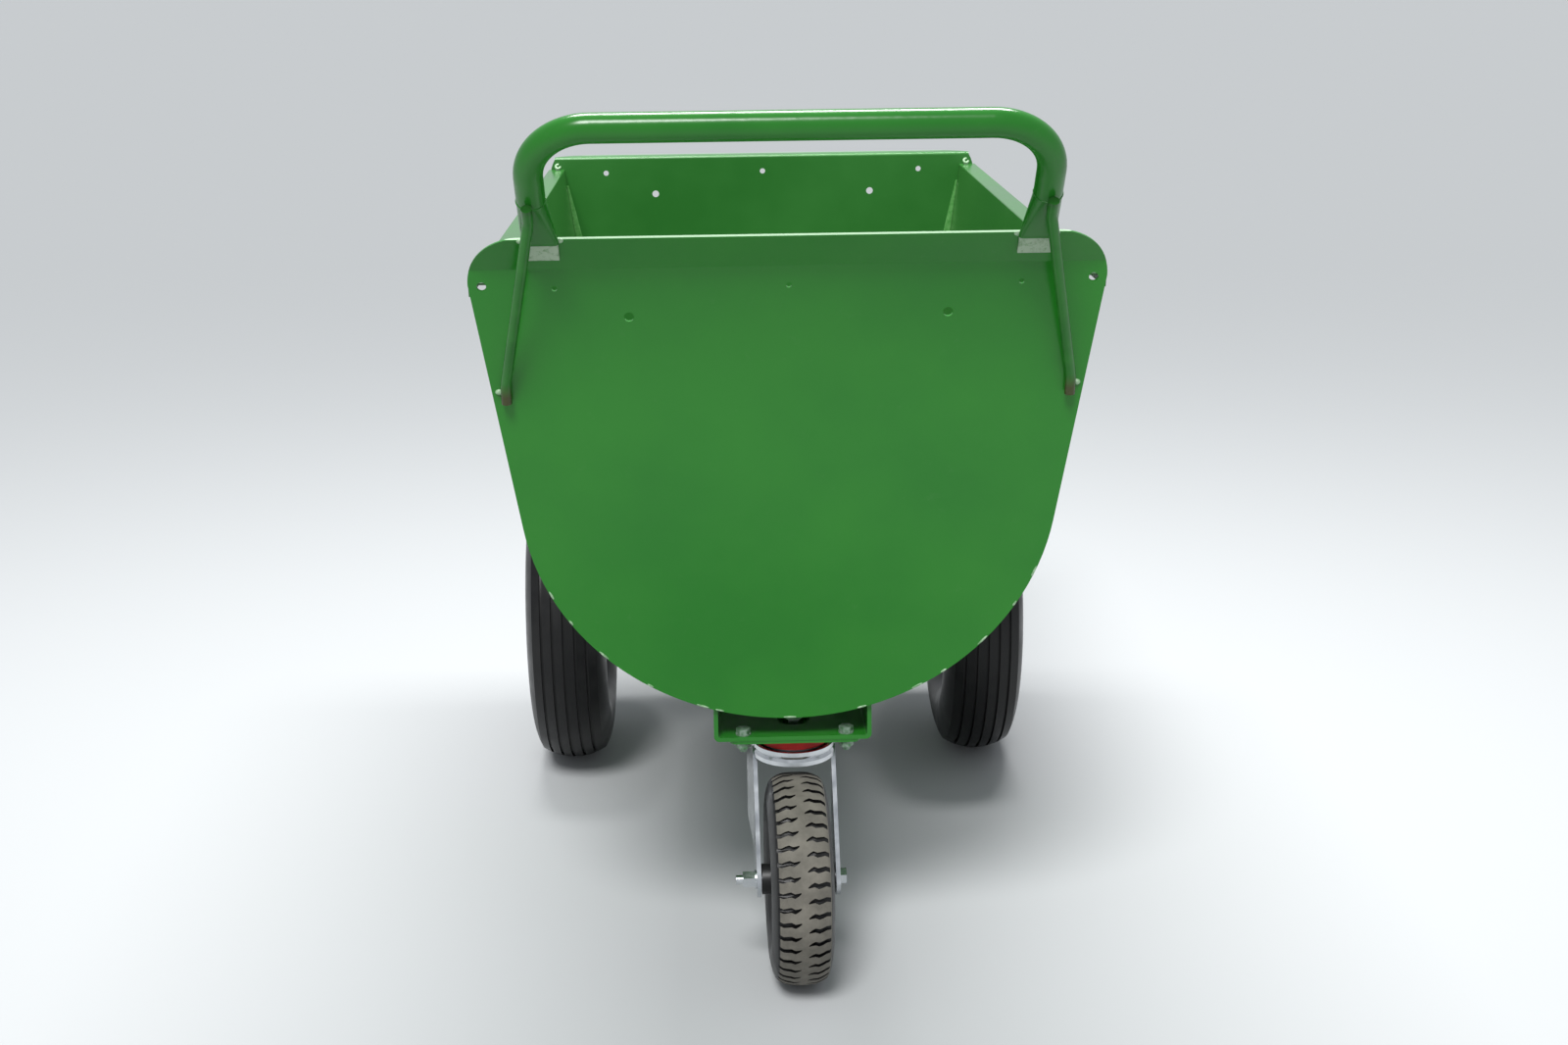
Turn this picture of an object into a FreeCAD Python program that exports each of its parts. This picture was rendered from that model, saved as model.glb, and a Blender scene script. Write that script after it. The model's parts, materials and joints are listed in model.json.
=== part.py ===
import FreeCAD, Part
import math
import os

import Sketcher

# A three-wheeled feed trolley: a round-bottomed sheet tub between two end plates, carried on two
# large pneumatic wheels and one swivel caster, with a bent tube handle over its rear end.
# Millimetres. X points right as seen from behind, Y points forward and Z up. The floor is Z = 0,
# and the origin lies on the floor below the middle of the trolley's outer length and width.
# Sub-parts are worked out from a rear datum: the hole row on the rear plate's back face.

SIZES = {
    # tub sheet and its side rims; the rim's height is above the tub's axis
    "tub_length": 991.0,
    "tub_radius": 240.0,
    "tub_axis_height": 543.0,
    "wall_flare": 7.5,
    "tub_sheet": 2.0,
    "rim_height": 215.0,
    "rim_width": 22.0,
    "rim_hem": 13.0,
    "rim_rounding": 1.8,
    "wall_hole_back": 16.0,
    "wall_hole_drop": 24.0,
    # end plates; the hole row's height is above the tub's axis
    "plate_sheet": 3.0,
    "plate_radius": 260.0,
    "plate_flare": 7.8,
    "rear_lean": 13.0,
    "hole_row_height": 209.0,
    "fold_above_holes": 19.0,
    "fold_bend": 4.0,
    "rear_flange": 38.0,
    "rear_flange_fold": 25.0,
    "front_flange": 25.0,
    "front_flange_fold": 90.0,
    "front_fold_bend": 0.8,
    "plate_corner": 50.0,
    "small_hole_spacing": 214.0,
    "small_hole_radius": 3.6,
    "rear_small_hole_radius": 2.6,
    "large_hole_spacing": 147.0,
    "large_hole_drop": 29.0,
    "large_hole_radius": 4.6,
    "ear_hole_spacing": 280.0,
    "ear_hole_rise": 3.0,
    "ear_hole_radius": 4.3,
    # handle; the foot spacing is inward from the middle of its leg
    "handle_spacing": 226.3,
    "handle_tube_radius": 13.0,
    "handle_wall": 2.3,
    "handle_bend": 56.0,
    "handle_reach": 173.8,
    "handle_flat_start": 37.0,
    "handle_flat_clear": 2.0,
    "handle_taper": 50.0,
    "handle_flat_width": 33.0,
    "handle_flat_thickness": 7.0,
    "foot_spacing": 3.8,
    "foot_width": 31.0,
    "foot_height": 22.5,
    "foot_thickness": 3.0,
    # handle braces; the top spacing is outward from the middle of the handle's leg
    "brace_radius": 5.0,
    "brace_top_spacing": 2.7,
    "brace_top_reach": 98.0,
    "brace_top_lap": 18.0,
    "brace_foot_spacing": 264.0,
    "brace_foot_drop": 94.0,
    "brace_foot_lap": 18.0,
    "brace_bend": 24.0,
    # caster bracket
    "bracket_width": 162.0,
    "bracket_offset": 3.0,
    "bracket_sheet": 4.5,
    "bracket_length": 100.0,
    "bracket_bend": 6.0,
    "bracket_rise": 37.5,
    "bracket_pin_hole_radius": 17.0,
    "plate_gap": 0.3,
    # caster top plate and its fasteners
    "caster_headroom": 43.5,
    "caster_offset": 5.2,
    "caster_plate_sheet": 3.5,
    "caster_plate_width": 135.0,
    "caster_plate_length": 98.0,
    "caster_plate_corner": 8.0,
    "caster_bolt_pitch_x": 106.0,
    "caster_bolt_pitch_y": 80.0,
    "caster_bolt_edge": 10.0,
    "bolt_radius": 4.0,
    "bolt_hole_clearance": 0.5,
    "bolt_head_flats": 13.0,
    "bolt_head_height": 5.3,
    "bolt_length": 20.0,
    "nut_height": 6.5,
    "washer_radius": 8.0,
    "washer_sheet": 1.6,
    "thread_clearance": 0.05,
    # swivel bearing
    "kingpin_radius": 6.0,
    "kingpin_head_flats": 19.0,
    "kingpin_head_height": 7.0,
    "kingpin_clearance": 0.6,
    "kingpin_nut_height": 8.0,
    "kingpin_end": 2.0,
    "ball_radius": 3.0,
    "ball_pitch_radius": 27.0,
    "ball_count": 24.0,
    "ball_clearance": 0.3,
    "ball_seat": 0.05,
    "race_half_gap": 2.0,
    "race_half_width": 5.0,
    "upper_race_depth": 6.5,
    "fork_race_depth": 4.5,
    "small_ball_radius": 2.5,
    "small_ball_pitch_radius": 14.0,
    "small_ball_count": 15.0,
    "small_race_radius": 20.0,
    "small_race_depth": 5.0,
    "seal_radius": 37.0,
    "seal_wall": 3.0,
    "seal_height": 13.0,
    # caster fork and axle
    "caster_swivel": 1.7,
    "caster_trail": 50.0,
    "fork_width": 87.0,
    "fork_sheet": 4.5,
    "fork_splay": 4.5,
    "crown_radius": 42.5,
    "crown_wall": 4.0,
    "crown_waist": 1.5,
    "crown_band": 4.5,
    "crown_rise": 1.0,
    "crown_skirt": 9.5,
    "fork_back": 2.0,
    "fork_front": 32.0,
    "fork_knee_height": 147.0,
    "fork_boss_radius": 19.0,
    "caster_bolt_radius": 5.0,
    "caster_bolt_flats": 16.0,
    "caster_bolt_head": 7.0,
    "caster_nut_height": 12.5,
    "caster_bolt_end": 7.0,
    "caster_washer_radius": 10.0,
    "caster_washer_sheet": 2.0,
    "caster_sleeve_wall": 2.5,
    "running_clearance": 0.05,
    # caster wheel
    "caster_tyre_width": 64.0,
    "caster_rim_radius": 50.0,
    "caster_rim_width": 44.0,
    "caster_rim_lip": 9.0,
    "caster_rim_sheet": 2.0,
    "caster_hub_radius": 16.0,
    "caster_hub_gap": 1.0,
    "caster_bearing_wall": 3.5,
    "caster_bearing_length": 20.0,
    "caster_rim_bolt_circle": 24.0,
    "caster_rim_bolt_count": 4.0,
    # main wheels
    "track": 532.0,
    "main_axle_reach": 778.0,
    "wheel_radius": 200.0,
    "tyre_width": 100.0,
    "rim_radius": 100.0,
    "rim_inner_width": 62.0,
    "rim_lip": 12.0,
    "rim_sheet": 2.5,
    "hub_radius": 21.0,
    "hub_wall": 3.5,
    "hub_length": 90.0,
    "wheel_bearing_length": 25.0,
    "rim_bolt_circle": 36.0,
    "rim_bolt_count": 5.0,
    "rim_bolt_radius": 4.0,
    "tread_groove_pitch": 14.0,
    "tread_groove_width": 3.4,
    "tread_groove_depth": 4.0,
    "tyre_wall": 6.0,
    "tube_wall": 2.0,
    "tube_clearance": 0.3,
    "bead_width": 7.0,
    "valve_radius": 3.2,
    "valve_length": 34.0,
    "caster_valve_length": 22.0,
    "valve_cap_radius": 4.2,
    "valve_cap_length": 9.0,
    "valve_hole_clearance": 0.3,
    # main axle and what carries it
    "axle_radius": 12.5,
    "axle_end": 11.0,
    "axle_washer_radius": 20.0,
    "axle_washer_sheet": 3.0,
    "axle_float": 0.5,
    "pin_radius": 2.2,
    "pin_offset": 4.5,
    "pin_overhang": 7.0,
    "beam_side": 40.0,
    "beam_wall": 3.0,
    "bush_length": 20.0,
    "saddle_sheet": 5.0,
    "saddle_half_width": 150.0,
    "saddle_foot_half_width": 110.0,
}

doc = FreeCAD.newDocument("FeedTrolley")
sheet = doc.addObject("Spreadsheet::Sheet", "Dims")


class Size:
    """A size with its number and the sheet expression that gives it."""

    def __init__(self, number, text):
        self.number = number
        self.text = text

    def __add__(self, other):
        other = as_size(other)
        return Size(self.number + other.number, f"({self.text} + {other.text})")

    def __radd__(self, other):
        return as_size(other) + self

    def __sub__(self, other):
        other = as_size(other)
        return Size(self.number - other.number, f"({self.text} - {other.text})")

    def __rsub__(self, other):
        return as_size(other) - self

    def __mul__(self, other):
        other = as_size(other)
        return Size(self.number * other.number, f"({self.text} * {other.text})")

    def __rmul__(self, other):
        return as_size(other) * self

    def __truediv__(self, other):
        other = as_size(other)
        return Size(self.number / other.number, f"({self.text} / {other.text})")

    def __neg__(self):
        return Size(-self.number, f"(-1 * {self.text})")


def as_size(value):
    if isinstance(value, Size):
        return value
    return Size(float(value), f"({value})")


def sine(angle):
    return Size(math.sin(math.radians(angle.number)), f"sin({angle.text})")


def cosine(angle):
    return Size(math.cos(math.radians(angle.number)), f"cos({angle.text})")


def tangent(angle):
    return Size(math.tan(math.radians(angle.number)), f"tan({angle.text})")


def root(value):
    return Size(math.sqrt(value.number), f"sqrt({value.text})")


def leg_of(long_side, short_side):
    """The other short side of a right triangle."""
    return root(long_side * long_side - short_side * short_side)


def fill_sheet():
    row = 1
    for alias, value in SIZES.items():
        sheet.set(f"A{row}", alias)
        sheet.set(f"B{row}", str(value))
        sheet.setAlias(f"B{row}", alias)
        row += 1
    doc.recompute()


fill_sheet()


def size(alias):
    return Size(float(sheet.get(alias)), f"Dims.{alias}")


def count(alias):
    return int(round(size(alias).number))


# Sketching helpers

PLANES = {"top": "XY_Plane", "front": "XZ_Plane", "side": "YZ_Plane"}


def new_body(name):
    body = doc.addObject("PartDesign::Body", name)
    body.Label = name
    return body


def new_sketch(body, plane, offset=None):
    """A sketch on one of the body's own planes, moved along that plane's normal."""
    sketch = body.newObject("Sketcher::SketchObject", "Sketch")
    role = PLANES[plane]
    support = [item for item in body.Origin.OriginFeatures if item.Role == role][0]
    sketch.AttachmentSupport = (support, [""])
    sketch.MapMode = "FlatFace"
    if offset is not None:
        sketch.setExpression("AttachmentOffset.Base.z", offset.text)
    return sketch


def pin_point(sketch, geometry, position, point):
    """Holds a sketch point at its two sizes from the origin."""
    for kind, value in zip(("DistanceX", "DistanceY"), point):
        index = sketch.addConstraint(
            Sketcher.Constraint(kind, -1, 1, geometry, position, value.number))
        sketch.setExpression(f"Constraints[{index}]", value.text)


def pin_radius(sketch, geometry, radius):
    index = sketch.addConstraint(Sketcher.Constraint("Radius", geometry, radius.number))
    sketch.setExpression(f"Constraints[{index}]", radius.text)


def arc_between(start, end, radius, turns_left):
    """The arc of under a half circle from start to end that turns left or right."""
    if not turns_left:
        start, end = end, start
    middle = (start + end) * 0.5
    chord = end - start
    reach = math.sqrt(max(radius * radius - chord.Length * chord.Length / 4, 0))
    side = FreeCAD.Vector(-chord.y, chord.x, 0)
    side.normalize()
    centre = middle + side * reach
    first = math.atan2(start.y - centre.y, start.x - centre.x)
    last = math.atan2(end.y - centre.y, end.x - centre.x)
    return Part.ArcOfCircle(Part.Circle(centre, FreeCAD.Vector(0, 0, 1), radius), first, last)


def outline(sketch, corners):
    """Draws a closed outline. A corner is (x, y), or (x, y, radius, "left" or "right") where the
    stretch that leaves it is an arc."""
    corners = [tuple(as_size(part) if not isinstance(part, str) else part for part in corner)
               for corner in corners]
    first = sketch.GeometryCount
    total = len(corners)
    start_ends = []
    for index, corner in enumerate(corners):
        after = corners[(index + 1) % total]
        start = FreeCAD.Vector(corner[0].number, corner[1].number, 0)
        end = FreeCAD.Vector(after[0].number, after[1].number, 0)
        if len(corner) == 2:
            sketch.addGeometry(Part.LineSegment(start, end), False)
            start_ends.append((1, 2))
        else:
            left = corner[3] == "left"
            sketch.addGeometry(arc_between(start, end, corner[2].number, left), False)
            start_ends.append((1, 2) if left else (2, 1))
    for index, corner in enumerate(corners):
        before = (index - 1) % total
        sketch.addConstraint(Sketcher.Constraint(
            "Coincident", first + before, start_ends[before][1],
            first + index, start_ends[index][0]))
        pin_point(sketch, first + index, start_ends[index][0], corner[:2])
        if len(corner) > 2:
            pin_radius(sketch, first + index, corner[2])


def circle(sketch, x, y, radius):
    x, y, radius = as_size(x), as_size(y), as_size(radius)
    geometry = sketch.addGeometry(
        Part.Circle(FreeCAD.Vector(x.number, y.number, 0), FreeCAD.Vector(0, 0, 1),
                    radius.number), False)
    pin_point(sketch, geometry, 3, (x, y))
    pin_radius(sketch, geometry, radius)


def rectangle(sketch, left, right, low, high):
    outline(sketch, [(left, low), (right, low), (right, high), (left, high)])


def pad(body, sketch, length, symmetric=False, reversed_way=False):
    feature = body.newObject("PartDesign::Pad", "Pad")
    feature.Profile = sketch
    feature.setExpression("Length", as_size(length).text)
    feature.Reversed = reversed_way
    if symmetric:
        feature.SideType = "Symmetric"
    body.Tip = feature
    return feature


def cut(body, sketch, length, symmetric=False, reversed_way=False):
    feature = body.newObject("PartDesign::Pocket", "Pocket")
    feature.Profile = sketch
    feature.setExpression("Length", as_size(length).text)
    feature.Reversed = reversed_way
    if symmetric:
        feature.SideType = "Symmetric"
    body.Tip = feature
    return feature


def turn(body, sketch, axis):
    feature = body.newObject("PartDesign::Revolution", "Revolution")
    feature.Profile = sketch
    feature.ReferenceAxis = (sketch, [axis])
    feature.Angle = 360
    body.Tip = feature
    return feature


def round_edges(body, radius, wanted):
    """Fillets the edges of the last feature whose middle point is wanted."""
    doc.recompute()
    base = body.Tip
    names = []
    for index, edge in enumerate(base.Shape.Edges):
        middle = edge.valueAt((edge.FirstParameter + edge.LastParameter) / 2)
        if wanted(middle, edge):
            names.append(f"Edge{index + 1}")
    if not names:
        raise RuntimeError(f"{body.Label} has no edge to round")
    feature = body.newObject("PartDesign::Fillet", "Fillet")
    feature.Base = (base, names)
    feature.setExpression("Radius", as_size(radius).text)
    body.Tip = feature


def near(value, target):
    return abs(value - target) < 0.01


# Placement helpers

NODES = []


def place(item, x=0, y=0, z=0, axis=None, angle=None):
    """Puts a sub-part in the trolley and keeps it for export."""
    if axis is not None:
        item.Placement = FreeCAD.Placement(
            FreeCAD.Vector(0, 0, 0), FreeCAD.Rotation(FreeCAD.Vector(*axis), angle.number))
        item.setExpression("Placement.Rotation.Angle", angle.text)
    item.setExpression("Placement.Base.x", as_size(x).text)
    item.setExpression("Placement.Base.y", (as_size(y) - MIDDLE_Y).text)
    item.setExpression("Placement.Base.z", as_size(z).text)
    NODES.append(item)
    return item


def turned(name, corners, axis="H_Axis"):
    """A body turned about X (H_Axis: corners are X and radius) or about Z (V_Axis: radius, Z)."""
    body = new_body(name)
    sketch = new_sketch(body, "front")
    outline(sketch, corners)
    turn(body, sketch, axis)
    return body


def shape_cylinder(name, radius, length, x=0, y=0, z=0, along=(0, 0, 1)):
    item = doc.addObject("Part::Cylinder", name)
    item.setExpression("Radius", as_size(radius).text)
    item.setExpression("Height", as_size(length).text)
    item.Placement.Rotation = FreeCAD.Rotation(FreeCAD.Vector(0, 0, 1), FreeCAD.Vector(*along))
    shift(item, x, y, z)
    return item


def shape_hexagon(name, flats, length, x=0, y=0, z=0, along=(0, 0, 1)):
    item = doc.addObject("Part::Prism", name)
    item.Polygon = 6
    item.setExpression("Circumradius", (as_size(flats) / root(as_size(3))).text)
    item.setExpression("Height", as_size(length).text)
    item.Placement.Rotation = FreeCAD.Rotation(FreeCAD.Vector(0, 0, 1), FreeCAD.Vector(*along))
    shift(item, x, y, z)
    return item


def shift(item, x, y, z):
    item.setExpression("Placement.Base.x", as_size(x).text)
    item.setExpression("Placement.Base.y", as_size(y).text)
    item.setExpression("Placement.Base.z", as_size(z).text)


def fused(name, parts):
    item = doc.addObject("Part::MultiFuse", name)
    item.Shapes = parts
    return item


def without(name, base, tool):
    item = doc.addObject("Part::Cut", name)
    item.Base = base
    item.Tool = tool
    return item


def group(name, parts):
    """Alike pieces that share one node as separate solids."""
    item = doc.addObject("Part::Compound", name)
    item.Label = name
    item.Links = parts
    return item


# Derived sizes that several sub-parts share

LEAN = size("rear_lean")
FLANGE_LEAN = LEAN + size("rear_flange_fold")
FOLD_Y = -(size("fold_above_holes") * sine(LEAN))
AXIS_DROP = size("hole_row_height")
ROW_Z = size("tub_axis_height") + AXIS_DROP
FOLD_Z = ROW_Z + size("fold_above_holes") * cosine(LEAN)
HANDLE_OFFSET = size("handle_flat_thickness") / 2
FOOT_X = size("handle_spacing") - size("foot_spacing")
GRIP_Y = (FOLD_Y - size("handle_reach") * sine(FLANGE_LEAN)
          - HANDLE_OFFSET * cosine(FLANGE_LEAN))
BACK_Y = GRIP_Y - size("handle_tube_radius")
FRONT_Y = size("tub_length") + size("plate_sheet") + size("front_flange")
MIDDLE_Y = (BACK_Y + FRONT_Y) / 2

TUB_OUTER = size("tub_radius") + size("tub_sheet")
PLATE_FRONT_SHIFT = size("plate_sheet") / cosine(LEAN)

# The lowest point of the rear plate sets how far forward the caster bracket starts.
PLATE_LOW = size("tub_axis_height") - size("plate_radius") * cosine(LEAN)
BRACKET_Y = ((ROW_Z - PLATE_LOW) * tangent(LEAN) + PLATE_FRONT_SHIFT
             + size("plate_gap"))
SWIVEL_Y = BRACKET_Y + size("caster_bolt_edge") + size("caster_bolt_pitch_y") / 2

# The caster fills the height between the floor and the bracket under the tub.
PLATE_TOP = size("tub_axis_height") - TUB_OUTER - size("bracket_rise")
CASTER_RADIUS = (PLATE_TOP - size("caster_headroom")) / 2
PLATE_BOTTOM = PLATE_TOP - size("caster_plate_sheet")
SWIVEL = size("caster_swivel")
CASTER_X = size("caster_offset") + size("caster_trail") * sine(SWIVEL)
CASTER_Y = SWIVEL_Y - size("caster_trail") * cosine(SWIVEL)
HUB_HALF = size("hub_length") / 2
WHEEL_X = size("track") / 2


# Tub

def flared_half_width(radius, flare, rise):
    """Half width, at a rise above the centre, of a wall tangent to a round bottom."""
    return radius / cosine(flare) + tangent(flare) * rise


def tub_sheet():
    body = new_body("tub_sheet")
    section = new_sketch(body, "front")
    flare = size("wall_flare")
    radius = size("tub_radius")
    sheet_t = size("tub_sheet")
    axis_z = size("tub_axis_height")
    top = axis_z + size("rim_height")
    under = top - sheet_t
    inner = flared_half_width(radius, flare, top - axis_z)
    outer = flared_half_width(TUB_OUTER, flare, under - axis_z)
    edge = inner + size("rim_width")
    hem = top - size("rim_hem")
    inner_x = radius * cosine(flare)
    inner_z = axis_z - radius * sine(flare)
    outer_x = TUB_OUTER * cosine(flare)
    outer_z = axis_z - TUB_OUTER * sine(flare)
    outline(section, [
        (-edge, hem), (-edge, top), (-inner, top),
        (-inner_x, inner_z, radius, "left"),
        (inner_x, inner_z), (inner, top), (edge, top), (edge, hem),
        (edge - sheet_t, hem), (edge - sheet_t, under), (outer, under),
        (outer_x, outer_z, TUB_OUTER, "right"),
        (-outer_x, outer_z), (-outer, under), (sheet_t - edge, under), (sheet_t - edge, hem),
    ])
    pad(body, section, size("tub_length"), reversed_way=True)
    rim_z = top.number
    corner_x = (inner.number, edge.number)
    round_edges(body, size("rim_rounding"), lambda middle, edge_item: near(middle.z, rim_z)
                and edge_item.Length > inner.number
                and any(near(abs(middle.x), x) for x in corner_x))
    slope = new_sketch(body, "side")
    low = axis_z - radius * 2
    high = top + radius
    row = ROW_Z
    outline(slope, [
        (-radius, low), (PLATE_FRONT_SHIFT + (row - low) * tangent(LEAN), low),
        (PLATE_FRONT_SHIFT + (row - high) * tangent(LEAN), high), (-radius, high),
    ])
    cut(body, slope, edge * 4, symmetric=True)
    holes = new_sketch(body, "side")
    circle(holes, size("tub_length") - size("wall_hole_back"), top - size("wall_hole_drop"),
           size("small_hole_radius"))
    cut(body, holes, edge * 4, symmetric=True)
    return place(body)


def ear_corner(drop, top):
    """The start of an end plate's rounded corner, for a corner that ends at the height top."""
    ear_z = top - size("plate_corner")
    return flared_half_width(size("plate_radius"), size("plate_flare"), ear_z + drop), ear_z


def ear_at_crease(ear, ear_z):
    corner = size("plate_corner")
    return ear - corner + leg_of(corner, size("fold_above_holes") - ear_z)


def end_plate(name, drop, flange, fold, bend, corner_top, small_hole, flat_flange):
    """An end plate in its own frame: holes on X at Z = 0, outer face at Y = 0, the tub at +Y."""
    body = new_body(name)
    sheet_t = size("plate_sheet")
    radius = size("plate_radius")
    flare = size("plate_flare")
    crease = size("fold_above_holes")
    reach = -(flange * sine(fold))
    rise = crease + flange * cosine(fold)
    inner_crease = crease + sheet_t * tangent(fold / 2)
    section = new_sketch(body, "side")
    below = -(drop + radius)
    outline(section, [
        (0, below - 1), (0, crease), (reach, rise),
        (reach + sheet_t * cosine(fold), rise + sheet_t * sine(fold)),
        (sheet_t, inner_crease), (sheet_t, below - 1),
    ])
    pad(body, section, radius * 3, symmetric=True)
    round_edges(body, bend, lambda middle, edge: near(middle.x, 0)
                and near(middle.y, 0) and near(middle.z, crease.number))
    round_edges(body, bend + sheet_t, lambda middle, edge: near(middle.x, 0)
                and near(middle.y, sheet_t.number) and near(middle.z, inner_crease.number))
    trim = new_sketch(body, "front")
    rectangle(trim, radius * -2, radius * 2, below * 1.1, -below)
    ear, ear_z = ear_corner(drop, corner_top)
    corner = size("plate_corner")
    low_x = radius * cosine(flare)
    low_z = -(drop + radius * sine(flare))
    bottom = [(-low_x, low_z, radius, "left"), (low_x, low_z), (ear, ear_z, corner, "left")]
    if flat_flange:
        side_x = ear_at_crease(ear, ear_z)
        high = crease + corner
        top = [(side_x, crease), (side_x, high), (-side_x, high),
               (-side_x, crease, corner, "left")]
    else:
        top = [(ear - corner, corner_top), (corner - ear, corner_top, corner, "left")]
    outline(trim, bottom + top + [(-ear, ear_z)])
    cut(body, trim, radius * 2, symmetric=True)
    holes = new_sketch(body, "front")
    circle(holes, 0, 0, small_hole)
    for side in (-1, 1):
        circle(holes, side * size("small_hole_spacing"), 0, small_hole)
        circle(holes, side * size("large_hole_spacing"), -size("large_hole_drop"),
               size("large_hole_radius"))
        circle(holes, side * size("ear_hole_spacing"), size("ear_hole_rise"),
               size("ear_hole_radius"))
    cut(body, holes, radius, symmetric=True)
    return body


def rear_plate():
    fold = size("rear_flange_fold")
    top = (size("fold_above_holes") + size("rear_flange") * cosine(fold)
           + size("plate_sheet") * sine(fold))
    body = end_plate("rear_plate", AXIS_DROP / cosine(LEAN), size("rear_flange"), fold,
                     size("fold_bend"), top, size("rear_small_hole_radius"), flat_flange=False)
    return place(body, z=ROW_Z, axis=(1, 0, 0), angle=LEAN)


def front_plate():
    flange = size("front_flange")
    crease = size("fold_above_holes")
    fold = size("front_flange_fold")
    body = end_plate("front_plate", AXIS_DROP, flange, fold, size("front_fold_bend"),
                     crease + flange, size("small_hole_radius"), flat_flange=True)
    ends = new_sketch(body, "top", crease - 1)
    corner = size("plate_corner")
    wide = size("plate_radius") * 2
    ear, ear_z = ear_corner(AXIS_DROP, crease + flange)
    side_x = ear_at_crease(ear, ear_z)
    for side in (-1, 1):
        outline(ends, [
            (side * wide, -1 - flange), (side * wide, 0),
            (side * side_x, 0, corner, "right" if side > 0 else "left"),
            (side * (ear - corner), -flange), (side * (ear - corner), -1 - flange),
        ])
    cut(body, ends, size("plate_sheet") * 3, reversed_way=True)
    return place(body, y=size("tub_length") + size("plate_sheet"), z=ROW_Z,
                 axis=(0, 0, 1), angle=as_size(180))


# Handle, in a frame on the rear flange's outer face: Z runs up the flange from its fold

def flat_end(sketch, side):
    """The slot-shaped section of a leg's flattened end."""
    half = size("handle_flat_thickness") / 2
    straight = size("handle_flat_width") / 2 - half
    middle = side * FOOT_X
    outline(sketch, [
        (middle - straight, -2 * half), (middle + straight, -2 * half, half, "left"),
        (middle + straight + half, -half, half, "left"), (middle + straight, 0),
        (middle - straight, 0, half, "left"), (middle - straight - half, -half, half, "left"),
    ])


def round_end(sketch, side):
    """A leg's round section, in as many arcs as its flattened end has sides."""
    radius = size("handle_tube_radius")
    middle = side * size("handle_spacing")
    corners = []
    for degrees in (240, 300, 0, 60, 120, 180):
        angle = as_size(degrees)
        corners.append((middle + radius * cosine(angle),
                        radius * sine(angle) - HANDLE_OFFSET, radius, "left"))
    outline(sketch, corners)


def handle_tube():
    body = new_body("handle_tube")
    radius = size("handle_tube_radius")
    spacing = size("handle_spacing")
    bend = size("handle_bend")
    reach = size("handle_reach")
    flat_top = size("rear_flange") + size("handle_flat_clear")
    taper_top = flat_top + size("handle_taper")
    path = new_sketch(body, "front", HANDLE_OFFSET)
    points = [(-spacing, taper_top), (-spacing, reach - bend), (bend - spacing, reach),
              (spacing - bend, reach), (spacing, reach - bend), (spacing, taper_top)]
    vectors = [FreeCAD.Vector(x.number, z.number, 0) for x, z in points]
    for index in range(5):
        start, end = vectors[index], vectors[index + 1]
        if index in (1, 3):
            sketch_item = arc_between(start, end, bend.number, turns_left=False)
            path.addGeometry(sketch_item, False)
            pin_radius(path, index, bend)
        else:
            path.addGeometry(Part.LineSegment(start, end), False)
    ends = [(1, 2), (2, 1), (1, 2), (2, 1), (1, 2)]
    for index in range(5):
        pin_point(path, index, ends[index][0], points[index])
        if index:
            path.addConstraint(Sketcher.Constraint(
                "Coincident", index - 1, ends[index - 1][1], index, ends[index][0]))
    pin_point(path, 4, 2, points[5])
    section = new_sketch(body, "top", taper_top)
    circle(section, -spacing, -HANDLE_OFFSET, radius)
    circle(section, -spacing, -HANDLE_OFFSET, radius - size("handle_wall"))
    doc.recompute()
    pipe = body.newObject("PartDesign::AdditivePipe", "Pipe")
    pipe.Profile = section
    pipe.Spine = (path, [f"Edge{index + 1}" for index in range(5)])
    body.Tip = pipe
    for side in (-1, 1):
        round_section = new_sketch(body, "top", taper_top)
        round_end(round_section, side)
        flat_section = new_sketch(body, "top", flat_top)
        flat_end(flat_section, side)
        doc.recompute()
        loft = body.newObject("PartDesign::AdditiveLoft", "Loft")
        loft.Profile = round_section
        loft.Sections = [flat_section]
        loft.Ruled = True
        body.Tip = loft
        foot = new_sketch(body, "top", size("handle_flat_start"))
        flat_end(foot, side)
        doc.recompute()
        pad(body, foot, flat_top - size("handle_flat_start"))
    doc.recompute()
    return place(body, y=FOLD_Y, z=FOLD_Z, axis=(1, 0, 0), angle=FLANGE_LEAN)


def handle_feet():
    """The small plates that close the flattened ends against the flange."""
    feet = []
    for side in (-1, 1):
        foot = doc.addObject("Part::Box", "Foot")
        foot.setExpression("Length", size("foot_width").text)
        foot.setExpression("Width", size("foot_thickness").text)
        foot.setExpression("Height", size("foot_height").text)
        shift(foot, side * FOOT_X - size("foot_width") / 2,
              -size("foot_thickness"), size("handle_flat_start") - size("foot_height"))
        feet.append(foot)
    return place(group("handle_feet", feet), y=FOLD_Y, z=FOLD_Z, axis=(1, 0, 0),
                 angle=FLANGE_LEAN)


def on_plane(x, y, along, lean, base_y, base_z):
    """A point given in a leaning frame, as a vector in the trolley's own directions."""
    turn_angle = math.radians(lean.number)
    return FreeCAD.Vector(
        x, base_y + y * math.cos(turn_angle) - along * math.sin(turn_angle),
        base_z + y * math.sin(turn_angle) + along * math.cos(turn_angle))


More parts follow.
